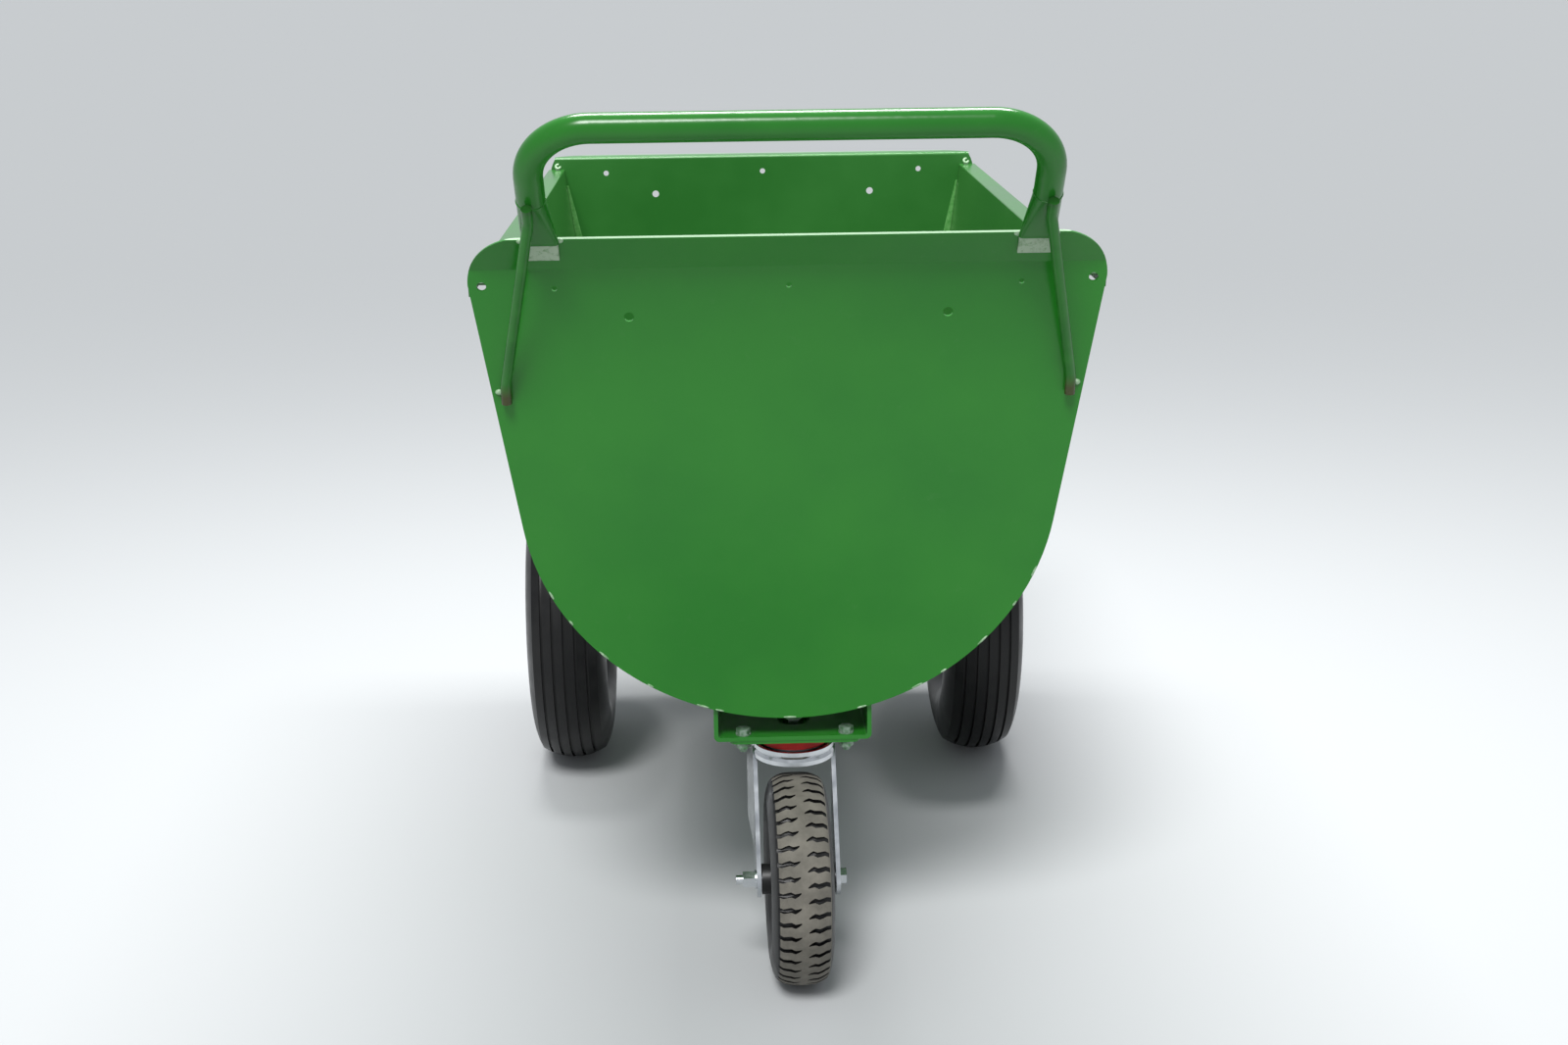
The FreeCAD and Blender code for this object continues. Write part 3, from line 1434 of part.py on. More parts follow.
def caster_wheel():
    half_width = size("caster_tyre_width") / 2
    half_rim = size("caster_rim_width") / 2
    radius = size("caster_rim_radius")
    lip = size("caster_rim_lip")
    hub = size("caster_hub_radius")
    hub_half = FORK_INSIDE - size("caster_hub_gap")
    sheet_t = size("caster_rim_sheet")
    bolts = (count("caster_rim_bolt_count"), size("caster_rim_bolt_circle"),
             size("rim_bolt_radius") * 0.75 + size("bolt_hole_clearance"))
    valve_x = -sheet_t - size("valve_cap_radius") - 1
    place_on_caster(tyre("caster_tyre", half_width, CASTER_RADIUS, radius, half_rim, lip, []))
    place_on_caster(inner_tube("caster_inner_tube", half_width, CASTER_RADIUS, radius, half_rim,
                               lip))
    for label, side, valve in (("left", -1, valve_x), ("right", 1, None)):
        place_on_caster(rim_half(f"caster_rim_{label}", side, half_rim, radius,
                                 lip, sheet_t, hub, bolts, valve))
    sleeve_out = (size("caster_bolt_radius") + size("thread_clearance")
                  + size("caster_sleeve_wall"))
    bore = sleeve_out + size("running_clearance")
    seat = bore + size("caster_bearing_wall")
    place_on_caster(turned("caster_hub", ring_corners(seat, hub, -hub_half, hub_half)))
    length = size("caster_bearing_length")
    cages = []
    for start in (hub_half - length, -hub_half):
        cage = shape_cylinder("CageBody", seat, length, x=start, along=(1, 0, 0))
        hole = shape_cylinder("CageBore", bore, length + 2, x=start - 1, along=(1, 0, 0))
        cages.append(without("Cage", cage, hole))
    place_on_caster(group("caster_bearings", cages))
    small = size("rim_bolt_radius") * 0.75
    flats = size("bolt_head_flats") * 0.77
    place_on_caster(ring_bolts("caster_rim_bolts", bolts[0], bolts[1], small, flats,
                               size("bolt_head_height") * 0.75, sheet_t * 2,
                               size("nut_height") * 0.75 + 1))
    place_on_caster(ring_nuts("caster_rim_nuts", bolts[0], bolts[1], small, flats,
                              size("nut_height") * 0.75, sheet_t * 2))
    place_on_caster(valve_parts("caster_valve", valve_x, radius, size("caster_valve_length")))


def build():
    tub_sheet()
    rear_plate()
    front_plate()
    handle_tube()
    handle_feet()
    brace("brace_left", -1)
    brace("brace_right", 1)
    axle_beam()
    axle_saddle("axle_saddle_rear", size("main_axle_reach") - size("beam_side") / 2
                - size("saddle_sheet"))
    axle_saddle("axle_saddle_front", size("main_axle_reach") + size("beam_side") / 2)
    axle_bushes()
    main_axle()
    axle_washers()
    cotter_pins()
    main_wheel("left", -1)
    main_wheel("right", 1)
    caster_bracket()
    caster_top_plate()
    caster_plate_bolts()
    caster_plate_washers()
    caster_plate_nuts()
    upper_race()
    ball_ring("upper_balls", size("ball_radius"), size("ball_pitch_radius"),
              count("ball_count"), BALL_Z)
    fork_race()
    red_seal()
    kingpin()
    ball_ring("lower_balls", size("small_ball_radius"), size("small_ball_pitch_radius"),
              count("small_ball_count"), SMALL_BALL_Z)
    lower_race()
    kingpin_nut()
    caster_fork()
    caster_axle()
    caster_wheel()


def export():
    doc.recompute()
    for item in doc.Objects:
        if "Invalid" in item.State or "Error" in item.State:
            owners = [parent.Label for parent in item.InList]
            raise RuntimeError(f"{item.Label} of {owners} failed: {item.State}")
    for node in NODES:
        if node.Shape.isNull() or not node.Shape.isValid():
            raise RuntimeError(f"{node.Label} has no valid shape")
    os.makedirs("parts", exist_ok=True)
    for node in NODES:
        node.Shape.exportStep(f"parts/{node.Label}.step")
        box = node.Shape.BoundBox
        print(f"{node.Label}: {len(node.Shape.Solids)} solids, {node.Shape.Volume / 1000:.1f} cm3,"
              f" X {box.XMin:.1f}..{box.XMax:.1f} Y {box.YMin:.1f}..{box.YMax:.1f}"
              f" Z {box.ZMin:.1f}..{box.ZMax:.1f}")


build()
export()
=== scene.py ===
# %% [markdown]
# # The feed trolley as it is seen
#
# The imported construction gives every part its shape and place, and this notebook gives the
# trolley its looks. It loads the fixed frame, makes a material for each real finish, models what
# is too small for the construction (tread, welds, seams), and sets the camera and the light.
# Lengths are in metres, +Y points forward and away from the handle, and the floor is Z = 0.

# %% Load the frame
import json
import math
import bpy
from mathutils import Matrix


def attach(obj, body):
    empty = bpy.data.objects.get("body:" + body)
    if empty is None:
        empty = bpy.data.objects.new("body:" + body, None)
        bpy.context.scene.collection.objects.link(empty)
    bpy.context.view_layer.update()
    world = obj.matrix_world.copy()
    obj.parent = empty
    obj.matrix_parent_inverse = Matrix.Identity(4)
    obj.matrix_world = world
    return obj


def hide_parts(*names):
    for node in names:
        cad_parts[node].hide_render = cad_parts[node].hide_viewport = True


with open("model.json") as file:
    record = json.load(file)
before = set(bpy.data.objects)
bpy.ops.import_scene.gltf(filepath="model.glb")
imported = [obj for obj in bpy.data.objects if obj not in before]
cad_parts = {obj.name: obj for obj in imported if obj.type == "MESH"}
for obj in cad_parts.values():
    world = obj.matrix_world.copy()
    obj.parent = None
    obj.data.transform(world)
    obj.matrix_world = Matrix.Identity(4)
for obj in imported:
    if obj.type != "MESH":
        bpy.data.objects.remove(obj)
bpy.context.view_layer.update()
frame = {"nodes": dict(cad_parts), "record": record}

from types import SimpleNamespace

import bpy
from mathutils import Matrix, Vector

# %% [markdown]
# ## Measures
#
# A fitter would measure this trolley from its rear, from the row of holes in the rear plate. The
# construction's origin is the middle of the trolley's length instead, so one shift turns a
# distance from the holes into Y, and every place below can be given as it would be measured.

# %% Measures shared by the cells
MM = 0.001
MIDDLE_Y = 445.98 * MM
NODES = frame["nodes"]


def from_datum(x, y, z):
    """A point in millimetres from the rear hole row, as a scene point."""
    return Vector((x * MM, y * MM - MIDDLE_Y, z * MM))


print("rear hole row at Y", round(-MIDDLE_Y, 4))

# %% [markdown]
# ## A helper that adds a node
#
# A finish is a stack of layers, such as an even colour, a slow cloud in it, dust on top and a
# fine bump, and each layer is a node or two. They could be dragged together by hand in the shader
# editor. Here one function adds any node with its settings and links, so that a finish reads as a
# list of its layers. Colours are sRGB hex, as on a paint chart, and one function turns them to
# the linear values that Blender works with.


# %% Colours and nodes
def srgb(code):
    """An sRGB hex colour as linear RGBA."""
    channels = [int(code[place:place + 2], 16) / 255 for place in (0, 2, 4)]
    linear = [value / 12.92 if value <= 0.04045 else ((value + 0.055) / 1.055) ** 2.4
              for value in channels]
    return (*linear, 1.0)


def feed(node, **inputs):
    """Sets inputs by name, with _ for a space, and links those given a node or an output."""
    for name, value in inputs.items():
        socket = next(item for item in node.inputs
                      if item.enabled and item.name == name.replace("_", " "))
        if isinstance(value, bpy.types.Node):
            value = next(item for item in value.outputs if item.enabled)
        if isinstance(value, bpy.types.NodeSocket):
            node.id_data.links.new(value, socket)
        else:
            socket.default_value = value


def add_node(tree, kind, settings=None, **inputs):
    """Adds a node to a tree with its settings and inputs."""
    node = tree.nodes.new(kind)
    for name, value in (settings or {}).items():
        setattr(node, name, value)
    feed(node, **inputs)
    return node


print("paint chart green in linear colour:", [round(value, 3) for value in srgb("24781f")])

# %% [markdown]
# ## Two colours mixed by noise
#
# No painted, plated or moulded surface has one even colour. Every finish here starts from two
# near colours mixed by noise whose waves have a real size. The noise reads Object coordinates,
# which are real metres on the trolley because every mesh holds its own place, so it needs no
# unwrapping, and the waves are as long on a bolt as on the tub. A baked image could do the same,
# but would blur when seen close.

# %% The start of every finish
COLOUR = {"data_type": "RGBA"}
EVEN = (0.35, 0.65)  # the noise at which the first colour starts and ends to turn
WIDE = (0.3, 0.7)  # a slower change, so that more of the surface is in between
LOPSIDED = (0.35, 0.7)  # more of the first colour than of the second


def waves(millimetres):
    """The noise scale that gives waves so many millimetres long."""
    return 1000.0 / millimetres


def mottled(name, dark, light, size, detail, blend, soft=0.55, **values):
    """Two colours mixed by noise, with even values on the shader, to build a finish on."""
    material = bpy.data.materials.new(name)
    material.use_nodes = True
    tree = material.node_tree
    shader = tree.nodes["Principled BSDF"]
    place = add_node(tree, "ShaderNodeTexCoord").outputs["Object"]
    noise = add_node(tree, "ShaderNodeTexNoise", Vector=place, Scale=waves(size), Detail=detail,
                     Roughness=soft)
    share = add_node(tree, "ShaderNodeMapRange", Value=noise, From_Min=blend[0],
                     From_Max=blend[1])
    colour = add_node(tree, "ShaderNodeMix", COLOUR, Factor=share, A=srgb(dark), B=srgb(light))
    feed(shader, Base_Color=colour, **values)
    return SimpleNamespace(material=material, tree=tree, shader=shader, place=place,
                           noise=noise, colour=colour)


print("waves to the metre for a cloud of 167 mm:", round(waves(167), 2))

# %% [markdown]
# ## Green enamel
#
# The trolley is welded steel sprayed with a thick green enamel and left glossy. That gives the
# eye a deep, even green with soft reflections, a slow cloud of about 170 mm where the coat is
# thicker, a trace of dust in patches of 18 mm, and an orange peel that softens the highlights.
# Real orange peel is 1 to 3 mm wide, and is drawn at 6.7 mm so that it shows. Along a plate's
# free edge a thin pale band is painted in as the highlight that the rounded edge catches. It
# could be a mask painted by hand. A level on one axis does the same here, because each plate's
# free edge lies at one height or reach.

# %% Green enamel
ENAMEL_GLOSS = 0.4  # the shader's specular level, a little under the usual 0.5
# how deep the painted highlight band along a free edge reaches
EDGE_HIGHLIGHT_DEPTH = 0.3 * MM


def green_enamel(name, dark, light, edge_axis=None, edge_level=0.0):
    """Glossy enamel between two greens, with a painted highlight past a level on one axis."""
    paint = mottled(name, dark, light, size=167, detail=3.0, blend=EVEN,
                    Specular_IOR_Level=ENAMEL_GLOSS)
    tree, colour = paint.tree, paint.colour
    specks = add_node(tree, "ShaderNodeTexNoise", Vector=paint.place, Scale=waves(18.2),
                      Detail=6.0, Roughness=0.7)
    dusty = add_node(tree, "ShaderNodeMapRange", Value=specks, From_Min=0.62, From_Max=0.8,
                     To_Max=0.06)
    colour = add_node(tree, "ShaderNodeMix", COLOUR, Factor=dusty, A=colour, B=srgb("7d967a"))
    if edge_axis:
        split = add_node(tree, "ShaderNodeSeparateXYZ", Vector=paint.place)
        # a pale band past the free edge: a painted highlight on the rounded edge
        edge_highlight = add_node(tree, "ShaderNodeMapRange", Value=split.outputs[edge_axis],
                          From_Min=edge_level, From_Max=edge_level + EDGE_HIGHLIGHT_DEPTH)
        colour = add_node(tree, "ShaderNodeMix", COLOUR, Factor=edge_highlight, A=colour,
                          B=srgb("b5d4b2"))
    thickness = add_node(tree, "ShaderNodeMapRange", Value=paint.noise, From_Min=WIDE[0],
                         From_Max=WIDE[1], To_Min=0.17, To_Max=0.25)
    peel = add_node(tree, "ShaderNodeTexNoise", Vector=paint.place, Scale=waves(6.67),
                    Detail=1.5, Roughness=0.55)
    normal = add_node(tree, "ShaderNodeBump", Height=peel, Distance=0.08 * MM)
    feed(paint.shader, Base_Color=colour, Roughness=thickness, Normal=normal)
    return paint.material


REAR_EDGE_Z = 800.7 * MM
FRONT_EDGE_Y = 1017.6 * MM - MIDDLE_Y
GREEN = green_enamel("green_enamel", "1a671a", "21701d")
# copies of the one enamel: the rear plate's is lighter as painted light, the front plate's and
# the tub's are greyer
REAR_GREEN = green_enamel("rear_plate_enamel", "1d711c", "24781f", "Z", REAR_EDGE_Z)
FRONT_GREEN = green_enamel("front_plate_enamel", "2c6a2b", "357433", "Y", FRONT_EDGE_Y)
TUB_GREEN = green_enamel("tub_enamel", "2a6028", "316a2d")
print("enamels:", [item.name for item in (GREEN, REAR_GREEN, FRONT_GREEN, TUB_GREEN)])

# %% [markdown]
# ## Enamel with burns, painted shade and painted reflection
#
# The braces were welded on late. The heat burnt their paint brown round the lower weld, and each
# brace's top, where it meets the handle, is darkened as a painted shade; two levels on Z place
# both. The feet are mottled pale and green in 6 mm patches, with spots of rust 11 mm wide, and
# the pale is a painted reflection of the sky on them. The patches raise the surface as well.


# %% Brace enamel, and the feet's enamel with rust and painted reflection
def brace_enamel():
    paint = mottled("brace_enamel", "1a621a", "226f1e", size=33.3, detail=4.0, blend=EVEN,
                    Roughness=0.25, Specular_IOR_Level=ENAMEL_GLOSS)
    tree = paint.tree
    height = add_node(tree, "ShaderNodeSeparateXYZ", Vector=paint.place).outputs["Z"]
    burnt = add_node(tree, "ShaderNodeMapRange", Value=height, From_Min=662 * MM,
                     From_Max=648 * MM, To_Max=0.85)
    colour = add_node(tree, "ShaderNodeMix", COLOUR, Factor=burnt, A=paint.colour,
                      B=srgb("3a2d16"))
    # painted shade: the brace darkens towards its top, where it meets the handle
    shaded = add_node(tree, "ShaderNodeMapRange", Value=height, From_Min=826 * MM,
                      From_Max=834 * MM, To_Max=0.7)
    colour = add_node(tree, "ShaderNodeMix", COLOUR, Factor=shaded, A=colour,
                      B=srgb("1a3617"))
    feed(paint.shader, Base_Color=colour)
    return paint.material


def rust_and_reflection_enamel():
    # pale patches in the green: a painted reflection of the sky on the feet, with rust spots over
    # it
    paint = mottled("rust_and_reflection_enamel", "4d7d47", "9fb399", size=6.25, detail=5.0,
                    blend=(0.3, 0.5), soft=0.7, Roughness=0.4)
    tree = paint.tree
    spots = add_node(tree, "ShaderNodeTexNoise", Vector=paint.place, Scale=waves(11.1),
                     Detail=4.0, Roughness=0.55)
    rusty = add_node(tree, "ShaderNodeMapRange", Value=spots, From_Min=0.64, From_Max=0.76,
                     To_Max=0.5)
    colour = add_node(tree, "ShaderNodeMix", COLOUR, Factor=rusty, A=paint.colour,
                      B=srgb("5f5138"))
    normal = add_node(tree, "ShaderNodeBump", Height=paint.noise, Distance=0.3 * MM)
    feed(paint.shader, Base_Color=colour, Normal=normal)
    return paint.material


BRACE_GREEN = brace_enamel()
RUST_AND_REFLECTION = rust_and_reflection_enamel()
print("spoiled enamels:", BRACE_GREEN.name, RUST_AND_REFLECTION.name)

# %% [markdown]
# ## Weld metal and filler under paint
#
# A weld bead is rough, so paint dries thick and pale on it and its top glints. The filler in the
# front corners was wiped smooth and painted too, and its green, lighter than the sheet's, is a
# painted highlight along the corner. Both are lumpy to the touch, with lumps of about 4 mm, so
# one function makes them.


# %% Pale weld and seam filler
def painted_lumps(name, dark, light):
    paint = mottled(name, dark, light, size=3.85, detail=4.0, blend=EVEN, Roughness=0.35)
    normal = add_node(paint.tree, "ShaderNodeBump", Height=paint.noise, Distance=0.3 * MM)
    feed(paint.shader, Normal=normal)
    return paint.material


PALE = painted_lumps("pale_weld", "5f8f5b", "a9c4a4")
# the filler's lighter green is a painted highlight along each front corner
PALE_GREEN = painted_lumps("seam_filler", "3f8438", "5f9a55")
print("weld finishes:", PALE.name, PALE_GREEN.name)

# %% [markdown]
# ## Zinc plate and steel
#
# The fork and the fasteners are zinc-plated steel, which shines like a mirror that is nowhere
# quite even: its crystals differ in gloss and height. They are too fine to see one by one, and
# are drawn 17 mm wide. The bolts, washers and nuts at the bracket get a darker, greenish zinc
# mottled in 5 mm blotches, a painted reflection of the green round them and painted shade inside
# the bracket. Axles, races and balls are plain turned steel, darker than zinc and shaded every 11
# mm or so. A metal's colour is that of its reflections, and the default IOR stays.


# %% Zinc plate, zinc with painted reflection and shade, and plain steel
def zinc_plate():
    plating = mottled("zinc_plate", "bbbfc3", "d2d5d8", size=16.7, detail=2.0, blend=WIDE,
                      soft=0.5, Metallic=1.0)
    gloss = add_node(plating.tree, "ShaderNodeMapRange", Value=plating.noise,
                     From_Min=WIDE[0], From_Max=WIDE[1], To_Min=0.14, To_Max=0.26)
    normal = add_node(plating.tree, "ShaderNodeBump", Height=plating.noise,
                      Distance=0.06 * MM)
    feed(plating.shader, Roughness=gloss, Normal=normal)
    return plating.material


def zinc_with_painted_reflection():
    # greenish, darker zinc: a painted reflection of the green paint and painted shade inside the
    # bracket
    plating = mottled("zinc_with_painted_reflection", "3f6b43", "86988a", size=5, detail=4.0, blend=EVEN,
                      Roughness=0.45, Metallic=0.3)
    normal = add_node(plating.tree, "ShaderNodeBump", Height=plating.noise,
                      Distance=0.2 * MM)
    feed(plating.shader, Normal=normal)
    return plating.material


ZINC = zinc_plate()
ZINC_WITH_PAINTED_REFLECTION = zinc_with_painted_reflection()
STEEL = mottled("plain_steel", "7f8083", "a0a1a3", size=11.1, detail=3.0, blend=WIDE,
                Roughness=0.35, Metallic=1.0).material
print("metals:", ZINC.name, ZINC_WITH_PAINTED_REFLECTION.name, STEEL.name)

# %% [markdown]
# ## Tyre rubber, with and without dust
#
# The tyres are moulded rubber, near black and low in shine, with a sheen that comes and goes
# every 40 mm or so. Where the small tyre rolls, dry dust has settled into the skin and made it
# matt and grey-brown. Real rubber grain is far under a millimetre. It is drawn 1.4 mm wide, and
# the dust's 1.1 mm, so that a render can show them at all.


# %% Black rubber and dusty rubber
def tyre_rubber(name, dark, light, grain, depth, **values):
    """Rubber with a grain so many millimetres wide over its colours."""
    rubber = mottled(name, dark, light, **values)
    skin = add_node(rubber.tree, "ShaderNodeTexNoise", Vector=rubber.place,
                    Scale=waves(grain), Detail=2.0, Roughness=0.55)
    normal = add_node(rubber.tree, "ShaderNodeBump", Height=skin, Distance=depth)
    feed(rubber.shader, Normal=normal)
    return rubber


def black_rubber():
    rubber = tyre_rubber("black_rubber", "0b0b0c", "181818", grain=1.43, depth=0.1 * MM,
                         size=41.7, detail=4.0, blend=LOPSIDED, Specular_IOR_Level=0.3)
    sheen = add_node(rubber.tree, "ShaderNodeMapRange", Value=rubber.noise,
                     From_Min=WIDE[0], From_Max=WIDE[1], To_Min=0.32, To_Max=0.5)
    feed(rubber.shader, Roughness=sheen)
    return rubber.material


RUBBER = black_rubber()
DUSTY = tyre_rubber("dusty_rubber", "55524b", "736f66", grain=1.11, depth=0.15 * MM, size=25,
                    detail=5.0, blend=WIDE, soft=0.65, Roughness=0.8).material
print("rubbers:", RUBBER.name, DUSTY.name)

# %% [markdown]
# ## Rim paint and plastics
#
# The rims have a half-matt grey paint, clouded every 33 mm or so. The seal of the swivel bearing
# is a moulded plastic dyed red, most likely nylon, and the black parts are much the same. Plastic
# gives a soft, wide highlight and is evener than paint, so its two colours lie close together.

# %% Rim paint, red plastic and black plastic
GREY = mottled("grey_paint", "7f8080", "9b9c9a", size=33.3, detail=4.0, blend=LOPSIDED,
               Roughness=0.42).material
RED = mottled("red_plastic", "98120c", "b21a14", size=16.7, detail=3.0, blend=LOPSIDED,
              Roughness=0.45, Specular_IOR_Level=0.25).material
BLACK = mottled("black_plastic", "0d0d0e", "1c1c1d", size=16.7, detail=3.0, blend=LOPSIDED,
                Roughness=0.4).material
print("last finishes:", GREY.name, RED.name, BLACK.name)

# %% [markdown]
# ## Dress the construction
#
# Each construction node names one material slot, and takes the finish that belongs to it. A few
# nodes get a finish of their own: the rear plate a lighter copy of the one green enamel, which
# paints the light on it, the front plate and the tub greyer copies, the braces their burns and a
# painted shade at their tops, and the bolts at the bracket a greenish zinc that paints the
# reflection of the green round them and the shade in the bracket.

# %% Give every node its finish
BY_SLOT = {
    "green_paint": GREEN, "worn_green_paint": RUST_AND_REFLECTION, "grey_paint": GREY, "zinc": ZINC,
    "steel": STEEL, "red_plastic": RED, "black_plastic": BLACK, "tyre": RUBBER,
    "tube_rubber": RUBBER,
}
BY_NODE = {
    "brace_left": BRACE_GREEN, "brace_right": BRACE_GREEN, "rear_plate": REAR_GREEN,
    "front_plate": FRONT_GREEN, "tub_sheet": TUB_GREEN, "caster_plate_bolts": ZINC_WITH_PAINTED_REFLECTION,
    "caster_plate_washers": ZINC_WITH_PAINTED_REFLECTION, "caster_plate_nuts": ZINC_WITH_PAINTED_REFLECTION,
}
slots = {entry["node"]: entry["material_slot"] for entry in frame["record"]["subparts"]}
for name, node in NODES.items():
    node.data.materials.clear()
    node.data.materials.append(BY_NODE.get(name, BY_SLOT[slots[name]]))
print("dressed nodes:", len(NODES), "of them with a finish of their own:", len(BY_NODE))

# %% [markdown]
# ## Two helpers for shaping
#
# The pieces below are too small or too fine for the construction. Each starts as a few points or
# a primitive and is shaped in edit mode, as by hand. Operators act on whatever is selected, so
# the first helper leaves one new object selected and active, and the second does its work in edit
# mode with everything selected.


# %% Shaping helpers
def start_mesh(name, points, edges, faces=()):
    """A new object of its own from millimetre points, made the active one."""
    bpy.ops.object.select_all(action="DESELECT")
    mesh = bpy.data.meshes.new(name)
    mesh.from_pydata([tuple(value * MM for value in point) for point in points], edges, faces)
    item = bpy.data.objects.new(name, mesh)
    bpy.context.scene.collection.objects.link(item)
    item.select_set(True)
    bpy.context.view_layer.objects.active = item
    return item


def in_edit(work):
    """Runs the work in edit mode with everything selected."""
    bpy.ops.object.mode_set(mode="EDIT")
    bpy.ops.mesh.select_all(action="SELECT")
    work()
    bpy.ops.object.mode_set(mode="OBJECT")


# %% [markdown]
# ## The caster tyre, still uncut
#
# The small tyre is moulded rubber with a rounded crown, a bulging wall and a bead that grips the
# rim. A torus pressed flat would come close but would have the wrong crown. So half of the real
# section is listed as (across, radius), from the middle round the outside and back along the
# hollow inside, then mirrored and spun about the axle. Its size is that of the construction's
# plain tyre, which it stands in for.

# %% The caster tyre as a spun section
CROWN = [(0, 110.0), (5.0, 110.0), (10.0, 109.8), (14.0, 109.2), (18.0, 108.0), (21.8, 106.3),
         (25.0, 104.2), (27.2, 101.4)]
WALL = [(28.4, 98.8), (29.6, 95.2), (30.8, 90.6), (31.7, 85.4), (32.0, 80.0), (31.2, 74.2),
        (29.2, 68.8), (26.2, 63.8), (22.0, 59.0)]
BEAD = [(22.0, 50.2), (15.0, 50.2), (15.0, 59.0)]
HOLLOW = [(26.0, 80.0), (19.6, 96.0), (0, 99.0)]
HALF_TYRE = CROWN + WALL + BEAD + HOLLOW
TYRE_STEPS = 176  # four to each groove


def spin_tyre():
    bpy.ops.mesh.spin(steps=TYRE_STEPS, angle=2 * math.pi, center=(0, 0, 0), axis=(1, 0, 0))
    bpy.ops.mesh.select_all(action="SELECT")
    bpy.ops.mesh.remove_doubles(threshold=0.02 * MM)
    bpy.ops.mesh.normals_make_consistent(inside=False)


def uncut_tyre():
    loop = HALF_TYRE + [(-across, radius) for across, radius in reversed(HALF_TYRE[1:-1])]
    points = [(across, 0, radius) for across, radius in loop]
    edges = [(index, (index + 1) % len(points)) for index in range(len(points))]
    tyre = start_mesh("caster_tread_tyre", points, edges)
    in_edit(spin_tyre)
    return tyre


caster_tread = uncut_tyre()
print("uncut caster tyre, faces:", len(caster_tread.data.polygons))

# %% [markdown]
# ## The tread's grooves
#
# Two staggered rows of wavy grooves run from a smooth middle band to the shoulders. In a mould
# each groove is a small steel blade. The same is done here: one blade is drawn as a wavy outline
# and extruded, copied round the axle, and all the copies are joined and cut away from the tyre
# at once, because one cut by many blades is quicker and cleaner than many cuts. A bump map would
# be lighter, but the blocks show in the tyre's outline.

# %% One blade
BLADE_RUN = [(3.6, -2.2), (6.6, -0.6), (10.0, 0.6), (14.0, -1.2), (17.6, -0.4), (21.8, 0.8),
             (29.5, -1.4)]
BLADE_HALF_WIDTHS = (0.7, 1.6, 2.3, 2.5, 2.5, 2.3, 2.2)
GROOVE_FLOOR = 105.6  # the radius of a groove's floor near the tyre's middle
FLOOR_BEND = 14  # from this far across, the floor falls away with the crown
FLOOR_FALL = 0.25
BLADE_HEIGHT = 9 * MM


def blade_edge(side, offset):
    """One long edge of the blade, to one side of its wavy middle line."""
    return [(side * x, y * side + offset * wide,
             GROOVE_FLOOR - FLOOR_FALL * max(x - FLOOR_BEND, 0))
            for (x, y), wide in zip(BLADE_RUN, BLADE_HALF_WIDTHS)]


def raise_blade():
    bpy.ops.mesh.extrude_region_move(TRANSFORM_OT_translate={"value": (0, 0, BLADE_HEIGHT)})
    bpy.ops.mesh.select_all(action="SELECT")
    bpy.ops.mesh.normals_make_consistent(inside=False)


def blade(side):
    """A wavy prism over the tread's top, from the smooth band to the shoulder."""
    outline = blade_edge(side, 1) + blade_edge(side, -1)[::-1]
    item = start_mesh("groove_cutter", outline, [], [tuple(range(len(outline)))])
    in_edit(raise_blade)
    return item


print("blade length in mm:", BLADE_RUN[-1][0] - BLADE_RUN[0][0])

# %% [markdown]
# ## Cutting the grooves
#
# The spacing of the blocks in the photograph gives 44 to a row, and the two rows are out of
# step. Each row's phase says by how many degrees its first groove is turned from the top of the
# wheel. An array modifier could copy the blade, but a loop that turns each copy's mesh keeps the
# copies plain objects, which are easily joined.

# %% Cut both rows
GROOVES = 44
ROW_PHASES = {-1: 0.68, 1: 3.86}


def ring_of_blades(side, phase):
    """Copies one blade round the axle."""
    first = blade(side)
    ring = []
    for index in range(GROOVES):
        copy = bpy.data.objects.new("groove_cutter", first.data.copy())
        bpy.context.scene.collection.objects.link(copy)
        angle = math.radians(phase + 360 * index / GROOVES)
        copy.data.transform(Matrix.Rotation(angle, 4, "X"))
        ring.append(copy)
    bpy.data.objects.remove(first)
    return ring


def join_all(items):
    bpy.ops.object.select_all(action="DESELECT")
    for item in items:
        item.select_set(True)
    bpy.context.view_layer.objects.active = items[0]
    bpy.ops.object.join()
    return bpy.context.view_layer.objects.active


def cut_away(item, cutter):
    """Cuts a closed shape out of an item and deletes the shape."""
    bpy.ops.object.select_all(action="DESELECT")
    item.select_set(True)
    bpy.context.view_layer.objects.active = item
    carve = item.modifiers.new("grooves", "BOOLEAN")
    carve.operation = "DIFFERENCE"
    carve.solver = "EXACT"
    carve.object = cutter
    bpy.ops.object.modifier_apply(modifier=carve.name)
    bpy.data.objects.remove(cutter)


blades = [item for side, phase in ROW_PHASES.items() for item in ring_of_blades(side, phase)]
cut_away(caster_tread, join_all(blades))
print("cut caster tyre, faces:", len(caster_tread.data.polygons))

# %% [markdown]
# ## Dust on the blocks
#
# Dust stays where the tyre touches the ground: on the blocks' tops, and not in the grooves. It
# reaches about 3 mm further out on the right than on the left, which paints light on the right
# shoulder and shade on the left. It could be painted by vertex, but the two finishes meet at
# sharp edges, so each face simply gets one of them. A face is a top if it lies near the uncut
# crown and looks outwards.

# %% Give each face of the tread its finish
# real dust, wider to the right as painted light on that shoulder and painted shade on the left
DUST_FROM, DUST_TO = -25.2, 28.4
TOP_DEPTH = 0.6  # how far below the uncut crown a face still counts as a block's top
TOP_FACING = 0.6  # and how squarely it has to look outwards


